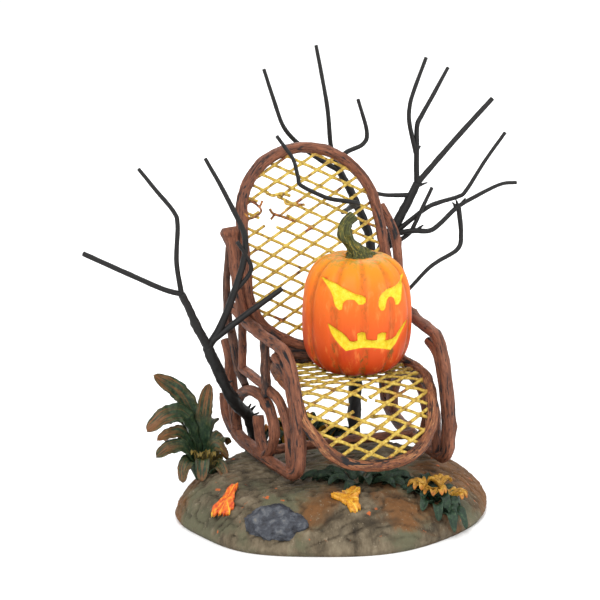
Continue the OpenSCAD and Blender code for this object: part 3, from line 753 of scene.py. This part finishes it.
def fallen_leaf(name, node, centre, size, lobes, material):
    """A dry leaf that lies on the ground. Each lobe has its direction, its length and its width as an angle."""
    rings, columns = 16, 144
    points, blade = [], []
    for layer in (0, 1):
        for i in range(rings + 1):
            for k in range(columns):
                angle = 2 * pi * k / columns
                reach, vein = 0.38, 0.0
                for at, length, width in lobes:
                    gap = abs((angle - radians(at) + pi) % (2 * pi) - pi)
                    reach = max(reach, length / sqrt(1 + (gap / width) ** 4))
                    vein = max(vein, exp(-(gap / 0.08) ** 2))
                reach *= 1 + 0.05 * sin(17 * angle) + 0.04 * sin(29 * angle)
                r = size * reach * i / rings
                x = centre[0] + r * cos(angle)
                y = centre[1] + r * sin(angle)
                curl = (i / rings) ** 3 * (0.5 + 0.7 * sin(2 * angle + 1))
                z = ground_height(x, y) + 0.5 + curl - 0.3 * vein * (i / rings)
                points.append(Vector((x, y, z - 1.4 * layer)))
                blade.append((i / rings, angle, vein))
    span = (rings + 1) * columns
    faces = rounds(rings + 1, columns, flip=True) + rounds(rings + 1, columns, span)
    edge = rings * columns
    for k in range(columns):
        a, b = edge + k, edge + (k + 1) % columns
        faces.append((a, span + a, span + b, b))
    make_piece(name, points, faces, material, "ground", (node,), {"blade": blade})


# ---- Chair ----------------------------------------------------------------------------------------

def frame_x(side, y):
    return CHAIR_X + side * (FRAME_HALF + 0.05 * (y + 20))


def in_frame(side, route, inward=0.0):
    return [(frame_x(side, y) - side * inward, y, z) for y, z in route]


def runner_z(y):
    return RUNNER_LOW_Z + (y - RUNNER_LOW_Y) ** 2 / (2 * RUNNER_CURVE_R)


def on_back(x, s, out=0.0):
    """A point on the leaning back: x from the chair's middle, s up the slope, out to the front."""
    return Vector((CHAIR_X + x, BACK_FOOT[0] + s * sin(RECLINE) - out * cos(RECLINE),
                   BACK_FOOT[1] + s * cos(RECLINE) + out * sin(RECLINE)))


def seat_profile(y):
    """Height of the seat, which curves down at its front lip."""
    return SEAT_Z if y > LIP_START else SEAT_Z - LIP_CURVE * (y - LIP_START) ** 2


ARM_LEG = [(29, 61), (18, 58.6), (6, 57.4), (-4, 57.2), (-11, 56.4), (-15.5, 52), (-19, 45), (-21.5, 36),
    (-22, 27), (-20.5, 22), (-16, runner_z(-16))]
INNER = [(-3, 53.2), (-9.5, 51.6), (-13, 48), (-16, 42.5), (-18.4, 35), (-18.8, 27), (-17.6, 22)]
RUNNER = [(y, runner_z(y)) for y in (-16, -8, 0, 8, 16, 24)] + [(31, 21.6), (35, 25), (37, 31)]
REAR_LEG = [(36, 48.6), (33, 44), (31.6, 36), (30, 28), (27.5, 22)]
CROSS = [(34, 54.4), (31, 48.5), (27.5, 42), (21.5, 37.6)]
LOOP = [(27, 20.6), (28, 27), (24.5, 33.4), (17, 37.2), (8, 38), (1, 35.4), (-2.6, 29.5), (-0.5, 23.5), (4, 19.4)]
SEAT_RAIL = [(25, 42.4), (14.5, 41.8), (5, 41), (-5, 39.2), (-11.4, 32.5), (-13, 25), (-13.4, 20)]
REAR_SPINDLE = [(22.6, 58.6), (22.4, 50), (22.6, 43)]
FRONT_SPINDLE = [(4.6, 56.6), (4.4, 48), (3.2, 39)]
STUB = [(6.5, 19.4), (11, 23.5), (12.4, 30)]
ARCH_FOOT = [(23.7, 30), (24.1, 19), (20.7, 10.5), (13, 4.8), (7, 2.5)]
ARCH = ([(-x, s) for x, s in reversed(ARCH_FOOT)]
        + [(ARCH_HALF * cos(radians(a)), ARCH_CENTRE + ARCH_HALF * sin(radians(a)))
           for a in (180, 157.5, 135, 112.5, 90, 67.5, 45, 22.5, 0)]
        + ARCH_FOOT)


def squarer(value):
    """Turns the sine and cosine of a circle into those of a slightly square round."""
    return copysign(abs(value) ** 0.74, value)


SEAT_OUTLINE = ([(-17.5, 17.5), (-20.2, 9), (-SEAT_HALF, -2), (-SEAT_HALF - 0.6, -12)]
                + [(-2 + 22 * squarer(cos(radians(197 + 14.6 * k))),
                    -13.5 + 17.8 * squarer(sin(radians(197 + 14.6 * k)))) for k in range(11)]
                + [(SEAT_HALF - 0.6, -12), (SEAT_HALF, -2), (20.2, 9), (17.5, 17.5)])


def make_side_frames(bark, dark):
    for name, side in (("left", -1), ("right", 1)):
        turn = pi if side < 0 else 0.0
        bough_piece(name + "_arm_leg", in_frame(side, ARM_LEG), BOUGH_R, BOUGH_R, bark,
                    grooves=(turn + 0.6, turn - 1.1), knots=((0.22, 1.2, 0.3), (0.5, 4.2, 0.2), (0.83, turn, 0.25)))
        bough_piece(name + "_inner_bough", in_frame(side, INNER), INNER_R, INNER_R, bark,
                    grooves=(turn,), knots=((0.5, 2.0, 0.2),))
        bough_piece(name + "_runner", in_frame(side, RUNNER), BOUGH_R, BOUGH_R * 1.1, bark,
                    grooves=(turn + 0.3,), knots=((0.3, turn, 0.15), (0.62, 1.6, 0.2)))
        bough_piece(name + "_rear_leg", in_frame(side, REAR_LEG), BOUGH_R, BOUGH_R, bark,
                    grooves=(turn + 0.4,), knots=((0.4, turn, 0.2),))
        bough_piece(name + "_seat_rail", in_frame(side, SEAT_RAIL, 0.8), INNER_R, INNER_R * 1.1, bark,
                    knots=((0.35, 1.5, 0.35),))
        bough_piece(name + "_loop", in_frame(side, LOOP), 1.7, 1.7, bark,
                    grooves=(turn - 0.4,), knots=((0.2, turn, 0.2), (0.62, turn + 0.5, 0.2)))
        bough_piece(name + "_rear_spindle", in_frame(side, REAR_SPINDLE), 1.3, 1.3, bark)
    bough_piece("left_cross_bough", in_frame(-1, CROSS, 0.6), 1.5, 1.3, dark, rough=0.14,
                grooves=(pi,), knots=((0.7, 3.4, 0.25),))
    bough_piece("left_front_spindle", in_frame(-1, FRONT_SPINDLE), INNER_R, INNER_R, dark, rough=0.18,
                knots=((0.1, 3.1, 0.3), (0.55, 3.9, 0.2), (0.9, 2.6, 0.3)))
    bough_piece("left_stub", in_frame(-1, STUB, 1), 1.7, 1.7, bark, knots=((0.9, 3.2, 0.2),))
    stretcher = [(frame_x(-1, 9), 9, 19.6), (CHAIR_X, 9.4, 19.8), (frame_x(1, 9), 9, 19.6)]
    bough_piece("low_stretcher", stretcher, 1.5, 1.5, bark, grooves=(4.6,))


def make_back(bark, dark, rim):
    bough_piece("back_arch", [on_back(x, s) for x, s in ARCH], BOUGH_R, BOUGH_R, bark,
                grooves=(0.9, 3.9), rough=0.09,
                knots=((0.3, 0.3, 0.25), (0.42, 3.2, 0.2), (0.55, 5.0, 0.2), (0.7, 2.0, 0.25)))
    bough_piece("left_post", [(-25.9, 30, 86.4), (-25.2, 28, 78), (-25.2, 24.8, 69), (-24.9, 21.6, 60)], 2, 1.7,
                bark, grooves=(3.0,), knots=((0.1, 3.4, 0.45), (0.45, 3.0, 0.25), (0.75, 2.4, 0.2)),
                flare=lambda t: 1 + 0.35 * exp(-((t - 0.04) / 0.05) ** 2))
    bough_piece("right_post", [(27.6, 36.5, 88), (30.2, 31.5, 80), (29.9, 26.5, 69), (28, 21.5, 60)], 1.6, 1.6,
                bark, grooves=(0.4,), knots=((0.4, 0.2, 0.25),))
    bough_piece("thin_post", [(-25.8, 31.8, 80), (-26.6, 31.4, 70), (-26.4, 31.6, 60), (-25.8, 32, 53)], 0.9, 1.5,
                dark)
    bough_piece("back_foot", [(-15, 17.5, 48.6), (-5, 17, 47), (5, 17, 46.6), (17, 17.5, 48.6)], 2.2, 2, dark,
                rough=0.2, spacing=0.45, grooves=(1.5, 3.4, 5.1))
    bough_piece("seat_rear_rail", [(CHAIR_X + x, 19.5, SEAT_Z + 0.2) for x in (-20, 0, 20)], 1.7, 1.7, dark,
                rough=0.2, spacing=0.45, grooves=(1.6, 3.2))
    bough_piece("seat_rim", [(CHAIR_X + x, y, seat_profile(y)) for x, y in SEAT_OUTLINE], 1.75, 1.75, rim,
                rough=0.2, grooves=(0.8, 2.6, 4.4), knots=((0.3, 1.4, 0.25), (0.5, 2.0, 0.3), (0.72, 1.2, 0.25)))


def inside(outline, x, y):
    """Whether a point lies inside a closed outline."""
    within = False
    for (x0, y0), (x1, y1) in zip(outline, outline[1:] + outline[:1]):
        if (y0 > y) != (y1 > y) and x < (x1 - x0) * (y - y0) / (y1 - y0) + x0:
            within = not within
    return within


def edge_distance(outline, x, y):
    """Distance from a point to the nearest edge of a closed outline."""
    p, nearest = Vector((x, y)), 1e9
    for a, b in zip(outline, outline[1:] + outline[:1]):
        a, b = Vector(a), Vector(b)
        t = max(0.0, min(1.0, (p - a).dot(b - a) / max(1e-9, (b - a).length_squared)))
        nearest = min(nearest, (p - a - t * (b - a)).length)
    return nearest


def outline_2d(route, spacing):
    """The smooth outline through flat points."""
    return [(p.x, p.y) for p in smooth_route([(x, y, 0) for x, y in route], spacing)]


def lattice_runs(outline, cell, low, high, half, torn):
    """Straight runs of crossing strips inside an outline, broken where torn(x, y) says so."""
    rise = cell[1] / cell[0]
    rows = ceil((high - low + 2 * half * rise) / cell[1])
    runs = []
    for side in (-1, 1):
        for i in range(rows + 1):
            run = []
            offset = low - half * rise + i * cell[1]
            steps = int(2 * half / 0.5)
            for k in range(steps + 1):
                x = -half + 0.5 * k
                y = offset + side * rise * x
                if inside(outline, x, y) and not torn(x, y, side):
                    run.append((x, y))
                elif run:
                    runs.append((side, run))
                    run = []
            if run:
                runs.append((side, run))
    return [(side, run) for side, run in runs if len(run) > 3]


def strip(shape, points, width, height, rim, out, swell=None):
    """A flattened wire through points. rim gives how near each is to the rim, out the face's outward direction and
    swell how thick it is."""
    sides = 8
    count = len(points)
    firsts = []
    for i, p in enumerate(points):
        tangent = (points[min(i + 1, count - 1)] - points[max(i - 1, 0)]).normalized()
        normal = (out[i] - tangent * out[i].dot(tangent)).normalized()
        across = tangent.cross(normal)
        size = (1 + 0.2 * noise.noise(p * 0.9)) * (swell[i] if swell else 1.0)
        first = len(shape.points)
        for k in range(sides):
            turn = 2 * pi * k / sides
            shape.points.append(p + across * (0.5 * width * size * cos(turn))
                                + normal * (0.5 * height * size * sin(turn)))
            shape.grain.append((rim[i], 0, 0))
        firsts.append(first)
    for a, b in zip(firsts, firsts[1:]):
        shape.bridge(a, b, sides)
    shape.faces.append(tuple(range(firsts[0] + sides - 1, firsts[0] - 1, -1)))
    shape.faces.append(tuple(range(firsts[-1], firsts[-1] + sides)))


def lattice(outline, cell, low, high, torn, place, rim_width, bends, seed, width):
    """Crossing strips over a surface. place(x, s, out) gives a point and the surface's outward direction. bends is
    the range over which torn ends bend outwards."""
    shape = Shape()
    rng = random.Random(seed)
    for side, run in lattice_runs(outline, cell, low, high, 25, torn):
        loose = [edge_distance(outline, *run[0]) > 1.5, edge_distance(outline, *run[-1]) > 1.5]
        bend = [rng.uniform(*bends), rng.uniform(*bends)]
        points, rim, out, swell = [], [], [], []
        for k, (x, s) in enumerate(run):
            lift = 0.12 * side * cos(2 * pi * x / (cell[0] / 2))
            for at_end, away, amount in ((loose[0], k, bend[0]), (loose[1], len(run) - 1 - k, bend[1])):
                if at_end:
                    lift += amount * exp(-(away / 5) ** 2)
            point, outward = place(x, s, lift)
            points.append(point)
            out.append(outward)
            rim.append(max(0.0, 1 - edge_distance(outline, x, s) / rim_width))
            from_node = abs((x / (cell[0] / 2) + 0.5) % 1 - 0.5) * cell[0] / 2
            swell.append(1 + 0.3 * exp(-(from_node / 0.7) ** 2))
        strip(shape, points, width, 0.75 * width, rim, out, swell)
    return shape


# Torn ends of the back's lattice: how rusty they are, their thickness and their route up the slope
LOOSE_ENDS = [
    (0.35, 1.1, [(-5.7, 50.7), (-8.6, 51.6), (-11.7, 51.2), (-13.8, 52.2)]),
    (0.8, 0.8, [(-21, 49), (-18.9, 49.8), (-16.8, 48), (-16.4, 46.4), (-18.3, 45), (-20.7, 44.4),
        (-22.2, 46.2)]),
    (0.7, 0.8, [(-16.8, 47.8), (-16, 48.6), (-15.4, 49.8)]),
    (0.55, 0.9, [(-1.4, 47.5), (-5.1, 47.8), (-7.7, 48.3), (-8, 49.8)]),
    (0.65, 0.8, [(-5.1, 47.8), (-7, 46.6), (-10.3, 44.6)]),
    (0.8, 0.9, [(-5.2, 42.4), (-9.3, 44.2), (-12.5, 45.5), (-13.4, 47)]),
    (0.8, 0.8, [(-11.9, 45.1), (-13.3, 43.7)]),
]


def make_back_lattice(straw):
    front = on_back(0, 0, 1) - on_back(0, 0)

    def torn(x, s, side):
        across, up = x - BACK_HOLE[0], s - BACK_HOLE[1]
        angle = atan2(up, across)
        ragged = 1 + 0.12 * sin(3 * angle + 1) + 0.08 * sin(7 * angle + side)
        return hypot(across / 0.85, up) < 5.4 * ragged

    shape = lattice(outline_2d(ARCH, 1.0), BACK_CELL, 2, 66, torn, lambda x, s, lift: (on_back(x, s, lift), front),
                    5, (-0.6, 1.0), 5, 0.95)
    for rust, width, route in LOOSE_ENDS:
        path = smooth_route([on_back(x, s, 0.3 + 0.25 * k) for k, (x, s) in enumerate(route)], 0.4)
        strip(shape, path, width, 0.8 * width, [rust] * len(path), [front] * len(path))
    shape.piece("back_wire_lattice", straw, "chair", ("back_lattice",), "straw_paint")


def seat_stations():
    """Pairs of distance along the seat's surface and Y, from the rear to the front lip."""
    step, length, y = 0.25, 0.0, 20.0
    pairs = [(length, y)]
    while y > -34:
        y -= step
        length += hypot(step, seat_profile(y + step) - seat_profile(y))
        pairs.append((length, y))
    return pairs


def make_seat_lattice(straw):
    pairs = seat_stations()

    def unrolled(y):
        return -next(length for length, at in pairs if at <= y)

    def rolled(s):
        for (l0, y0), (l1, y1) in zip(pairs, pairs[1:]):
            if l1 >= -s:
                return y0 + (y1 - y0) * (-s - l0) / (l1 - l0)
        return pairs[-1][1]

    def place(x, s, lift):
        y = rolled(s)
        normal = Vector((0, 0.0 if y > LIP_START else 2 * LIP_CURVE * (y - LIP_START), 1)).normalized()
        return Vector((CHAIR_X + x, y, seat_profile(y))) + normal * lift, normal

    hole = unrolled(SEAT_HOLE[1])

    def torn(x, s, side):
        across, up = x - SEAT_HOLE[0], s - hole
        angle = atan2(up, across)
        ragged = 1 + 0.15 * sin(3 * angle) + 0.1 * sin(5 * angle + side)
        return hypot(across / 1.35, up) < 2.8 * ragged

    outline = [(x, unrolled(max(y, -33.9))) for x, y in outline_2d(SEAT_OUTLINE, 1.0)]
    shape = lattice(outline, SEAT_CELL, -pairs[-1][0], 0, torn, place, 4, (-3.0, 0.4), 9, 1.1)
    shape.piece("seat_wire_lattice", straw, "chair", ("seat_lattice",), "straw_paint")


# ---- Pumpkin --------------------------------------------------------------------------------------

RIBS = 11
# Radius and height of the skin from the foot to the stem, as shares of the pumpkin's
PUMPKIN_LEVELS = [(0.0, 0.01), (0.3, 0.01), (0.55, 0.0), (0.78, 0.06), (0.92, 0.16), (0.985, 0.3), (1, 0.47),
    (0.985, 0.62), (0.93, 0.76), (0.8, 0.89), (0.58, 0.97), (0.32, 0.985), (0.16, 0.95), (0.0, 0.94)]
# Face outlines: X to the viewer's right, Z up from the foot
RIGHT_EYE = [(13.4, 30.9), (12, 28.4), (11.4, 27), (11, 25.4), (10.6, 24), (9.6, 23.1), (8.6, 23.2),
    (8.3, 24.4), (8, 25.3), (7, 25.9), (6, 25.8), (5.2, 25.2), (4.7, 24), (4.4, 22.8), (3.8, 22.2), (3, 22.4),
    (2.4, 23.6), (2.4, 24.9), (2.7, 26.1), (3.6, 27.2), (5.2, 27.9), (7.4, 28.2), (9.6, 28.9)]
LEFT_EYE = [(-13.2, 31.2), (-12.2, 29.4), (-11.5, 28.1), (-10.8, 26.2), (-10.6, 24.6), (-10.3, 23.4),
    (-9.6, 22.6), (-8.9, 22.9), (-8.8, 24), (-8.5, 25), (-7.6, 25.8), (-6.4, 26), (-5.2, 25.9), (-4.6, 25.2),
    (-4, 24.5), (-2.6, 24.3), (-1.8, 25), (-1.8, 26.2), (-3, 26.9), (-5, 27.4), (-7.4, 28.6), (-10, 30)]
MOUTH = [(-12.5, 17.8), (-11.6, 15), (-10.4, 12.9), (-9.2, 11.4), (-7.7, 9.9), (-6, 10.4), (-4, 10.8),
    (0, 10.9), (4, 10.2), (6.9, 9.1), (8.4, 10.8), (9.7, 13), (11, 14.8), (13.8, 18), (11.4, 16.4), (9.7, 14.9),
    (8.6, 13.2), (7.4, 12.4), (6, 12.3), (4.5, 12.6), (4.8, 14.9), (3.4, 15.2), (2, 14.9), (1.8, 13), (0, 13),
    (-1.7, 13.2), (-2.1, 15.4), (-3.2, 15.6), (-4.4, 15.3), (-4.3, 13.1), (-5.6, 12.7), (-6.8, 12.8),
    (-7.8, 14.2), (-9, 15.4), (-10.6, 16.4)]


# The cut of the carved face: its depth, how far outside an outline its slope starts and how wide the slope is
CARVE_DEPTH = 1.15
CARVE_START = 0.25
CARVE_SLOPE = 0.45


def carve_depth(x, z):
    """How deep the face is cut at a place: 0 outside its outlines, up to 1 well inside them."""
    for outline in (LEFT_EYE, RIGHT_EYE, MOUTH):
        xs, zs = zip(*outline)
        if min(xs) - 0.3 < x < max(xs) + 0.3 and min(zs) - 0.3 < z < max(zs) + 0.3:
            distance = edge_distance(outline, x, z) * (1 if inside(outline, x, z) else -1)
            if distance > -CARVE_START:
                return min(1.0, (distance + CARVE_START) / CARVE_SLOPE)
    return 0.0


def make_pumpkin():
    profile = smooth_route([(r * PUMPKIN_R, z * PUMPKIN_H, 0) for r, z in PUMPKIN_LEVELS], 0.3)[1:-1]
    columns = 460
    points, skin = [], []
    turn_round = Matrix.Rotation(PUMPKIN_TURN, 4, "Z")
    place = Vector(PUMPKIN_PLACE)
    for p in profile:
        for k in range(columns):
            turn = 2 * pi * k / columns
            groove = abs(sin(RIBS * turn / 2 + pi / 2)) ** 7
            shoulder = 0.034 + 0.07 * (abs(p.y / PUMPKIN_H - 0.5) * 2) ** 3
            r = p.x * (1 - shoulder * groove)
            x, y, z = r * cos(turn), r * sin(turn), p.y
            lump = 0.3 * noise.noise(Vector((x * 0.14, y * 0.14, z * 0.1))) - 0.15
            depth = carve_depth(x, z) if y < -6 else 0.0
            shrink = 1 + (lump - CARVE_DEPTH * depth) / PUMPKIN_R
            local = turn_round @ Vector((x * shrink, y * shrink, z))
            points.append(place + local)
            skin.append((depth, groove, max(0.0, min(1.0, z / PUMPKIN_H))))
    rows = len(profile)
    faces = rounds(rows, columns)
    faces.append(tuple(range(columns - 1, -1, -1)))
    faces.append(tuple(range((rows - 1) * columns, rows * columns)))
    make_piece("carved_pumpkin", points, faces, pumpkin_paint(), "chair", ("pumpkin",), {"skin": skin})


def make_stem():
    base = Vector(PUMPKIN_PLACE) + Vector((0, 0, PUMPKIN_H))
    route = [base + Vector(p) for p in ((0.6, 0, -3), (-0.2, 0, 0.6), (-2.2, 0, 3.6), (-4.2, 0, 6.8),
                                        (-3.6, 0, 9.8), (-1, 0, 11.8))]

    def flare(t):
        return 1 + 2.7 * exp(-(t / 0.18) ** 2) + 0.35 * exp(-((t - 0.62) / 0.14) ** 2)

    shape = Shape()
    shape.sweep(route, 1.8, 1.45, sides=40, spacing=0.3, rough=0.3, lobes=6, flare=flare)
    shape.piece("pumpkin_stem", stem_paint(), "chair", ("stem",), "stem_paint")


# ---- Trees ----------------------------------------------------------------------------------------

LEFT_FORK = (-38.6, 15.4, 52.8)
LEFT_HIGH_FORK = (-47, 15, 70.7)
REAR_FORK = (29.4, 50, 62)
REAR_LEFT_FORK = (19.4, 52, 97)
REAR_RIGHT_FORK = (46, 50, 91)
# Node, first and last radius, and route of each wire
WIRES = [
    ("left_trunk", 2.1, 1.7, [(-18.6, 28, GROUND_Z - 1.5), (-19.6, 26.6, 20.5), (-22.4, 23.4, 26.8),
        (-27.6, 18.4, 32), (-31.6, 16, 37.6), (-35.4, 15.6, 45.4), LEFT_FORK]),
    ("left_limb", 1.5, 1.1, [LEFT_FORK, (-42.8, 15.2, 61.8), LEFT_HIGH_FORK]),
    ("low_twig", TWIG_R, 0.8, [LEFT_HIGH_FORK, (-52.7, 15, 72.7), (-62.3, 15, 77.7), (-70.2, 15, 81.9),
        (-77.8, 15, 86)]),
    ("high_twig", TWIG_R, TIP_R, [LEFT_HIGH_FORK, (-48.8, 14, 81), (-48.7, 13, 93), (-50.1, 13, 97.4),
        (-56.1, 13, 105), (-60.7, 13, 111)]),
    ("inner_limb", 1.3, TIP_R, [LEFT_FORK, (-34.6, 15, 59), (-30.6, 14.6, 68.6), (-27.2, 14, 79.4),
        (-26.6, 14, 86), (-27.6, 14, 90), (-30.2, 14, 95.4), (-34.6, 14, 104), (-39.3, 14, 112.4)]),
    ("inner_twig", 0.75, TIP_R, [(-30, 14.4, 70), (-24.8, 14, 76.4), (-27, 13.4, 82), (-29.5, 13, 86)]),
    ("straight_twig", 1.15, 0.8, [(-37.6, 15, 54.8), (-26.4, 14, 62.6), (-15, 13, 70)]),
    ("rear_trunk", 2.1, 1.7, [(14, 25, GROUND_Z - 1.5), (16.2, 29.5, 28), (20, 37, 42),
        (25.5, 45, 54), REAR_FORK]),
    ("rear_left_limb", 1.6, 1.2, [REAR_FORK, (30, 51, 73), (26.8, 52, 83), (22.8, 52, 91), REAR_LEFT_FORK]),
    ("rear_top_twig", TWIG_R, TIP_R, [REAR_LEFT_FORK, (16.4, 51.4, 105), (14.4, 50, 119), (10.6, 50, 138.6)]),
    ("rear_mid_twig", TWIG_R, TIP_R, [(20, 52, 96.6), (21, 51.4, 102.4), (27, 50.4, 105.4), (28.2, 50, 109.6),
        (25.1, 50, 120.3)]),
    ("rear_outer_twig", TWIG_R, TIP_R, [REAR_LEFT_FORK, (12, 52, 101.6), (4.8, 51, 107.2), (-0.4, 50, 113),
        (-3.4, 50, 120.8), (-7.1, 50, 132)]),
    ("lattice_twig", TWIG_R, TIP_R, [(24.6, 52, 86), (20.6, 47, 85.2), (16.4, 41, 85.8), (16.1, 33.7, 88.8),
        (15.8, 27.2, 91.6), (7, 27.4, 93.6), (2.8, 28.2, 95.3), (-2.6, 29.6, 98.4), (-3.2, 30, 100.8),
        (-4.4, 30.8, 106.2), (-6.8, 31.4, 110), (-9.6, 31.8, 114)]),
    ("rear_right_limb", 1.8, 1.4, [REAR_FORK, (34, 50.4, 70), (40, 50, 80), REAR_RIGHT_FORK]),
    ("rear_tall_twig", 1, TIP_R, [REAR_RIGHT_FORK, (45.8, 50, 97), (45.8, 50, 104), (45.9, 50, 110.4),
        (47.6, 50, 113.8), (51.4, 50, 120), (56.6, 50, 128.8)]),
    ("rear_second_twig", TWIG_R, TIP_R, [(45.8, 50, 100.4), (43.2, 50, 111), (43.2, 50, 117), (44.8, 50, 122.4),
        (48.8, 50, 132.5)]),
    ("rear_straight_twig", 1, 0.8, [(45.4, 50, 90.4), (59.5, 50, 104.8), (72.6, 50, 117.5)]),
    ("rear_side_twig", TWIG_R, TIP_R, [(43.4, 50, 87.4), (35, 50.6, 88), (30.4, 51, 89.4)]),
    ("right_high_twig", TWIG_R, TIP_R, [(36, 50, 73.6), (47.3, 47, 82.8), (52.3, 46, 85.1), (59.1, 46, 86.5),
        (62, 46, 88.5), (68.6, 46, 97.9), (75.6, 46, 106.7)]),
    ("right_long_twig", 0.95, TIP_R, [(36.6, 49, 75), (42.6, 45, 76.6), (48, 44, 76.4), (52, 44, 78.6),
        (57.5, 44, 83.2), (64, 44, 86.4), (73.2, 44, 89.9), (79, 44, 90.1)]),
    ("right_drop_twig", TWIG_R, TIP_R, [(58.4, 44, 83.2), (58.9, 43, 75), (57.4, 42, 70), (50.4, 42, 66.4),
        (46.4, 42, 63.8), (40.9, 42, 58.6), (37.4, 41.6, 55.7)]),
    ("right_short_twig", TWIG_R, TIP_R, [(34, 50, 69.6), (41.4, 46.6, 75), (43.6, 46, 78.4), (46.2, 46, 83.5),
        (49.7, 46, 90.3)]),
]
# Short broken stubs: the wire they stand on, their foot and their tip
THORNS = {
    "left_trunk": [((-23, 22.6, 27.8), (-20.6, 22, 30.4)), ((-22.4, 23, 26), (-19.6, 21.4, 28.2)),
                   ((-24, 21.6, 28.6), (-22.6, 20.6, 31.6)), ((-33, 16, 40), (-30.8, 15, 41.4))],
    "rear_right_limb": [((36, 50, 73), (38.6, 49.4, 72.4)), ((33, 50, 68.6), (35.2, 49, 67.4)),
                        ((45, 50, 89.6), (49.6, 49.6, 91.2))],
    "right_long_twig": [((58, 44, 83.6), (57.2, 43.6, 86)), ((57.4, 44, 83.2), (56, 43.8, 85.2)),
                        ((59, 44, 84), (60.6, 43.6, 86.4)), ((44, 44.6, 76.8), (46, 44.2, 78.4))],
    "rear_tall_twig": [((45.8, 50, 102), (47, 49.6, 103.6))],
}


def make_trees(wire):
    for node, r0, r1, route in WIRES:
        thick = r0 > 1.4
        shape = Shape()
        shape.sweep(route, r0, r1, sides=18 if thick else 12, spacing=0.5 if thick else 0.7,
                    rough=0.2 if thick else 0.07, knots=((0.45, 2.4, 0.35), (0.8, 0.6, 0.25)) if thick else ())
        for foot, tip in THORNS.get(node, ()):
            middle = [(a + b) / 2 + 0.15 for a, b in zip(foot, tip)]
            shape.sweep([foot, middle, tip], 0.75, 0.22, sides=10, spacing=0.4, rough=0.2)
        shape.piece(node + "_wire", wire, "ground", (node,), "black_wire")


# ---- The object -----------------------------------------------------------------------------------

make_camera()
make_studio()
bark = (bark_paint("bark_bough_paint", (0.045, 0.016, 0.009), (0.11, 0.037, 0.018), (0.18, 0.062, 0.03),
                   (0.27, 0.105, 0.056), 0.55), "bark_paint")
rim = (bark_paint("rim_bough_paint", (0.04, 0.015, 0.008), (0.13, 0.042, 0.018), (0.24, 0.085, 0.034),
                  (0.42, 0.22, 0.09), 0.5), "bark_paint")
dark = (bark_paint("dark_bough_paint", (0.012, 0.007, 0.005), (0.045, 0.018, 0.011), (0.1, 0.04, 0.022),
                   (0.2, 0.1, 0.06), 0.5), "dark_bark_paint")
straw = straw_paint()
make_mound()
make_stone()
make_plants()
fallen_leaf("orange_fallen_leaf", "orange_leaf", (-42.2, -11), 6.5,
            ((40, 0.78, 0.5), (178, 0.68, 0.55), (262, 0.74, 0.55), (222, 0.6, 0.5)),
            fallen_paint("orange_leaf_skin", (0.42, 0.035, 0.006), (0.62, 0.12, 0.008), (0.66, 0.36, 0.02)))
fallen_leaf("yellow_fallen_leaf", "yellow_leaf", (-10.6, -30.2), 6.8,
            ((140, 0.66, 0.6), (30, 0.78, 0.5), (75, 0.55, 0.5), (285, 0.74, 0.5), (330, 0.5, 0.5)),
            fallen_paint("yellow_leaf_skin", (0.33, 0.11, 0.006), (0.56, 0.25, 0.014), (0.62, 0.4, 0.05)))
make_side_frames(bark, dark)
make_back(bark, dark, rim)
make_back_lattice(straw)
make_seat_lattice(straw)
make_pumpkin()
make_stem()
make_trees(wire_paint())
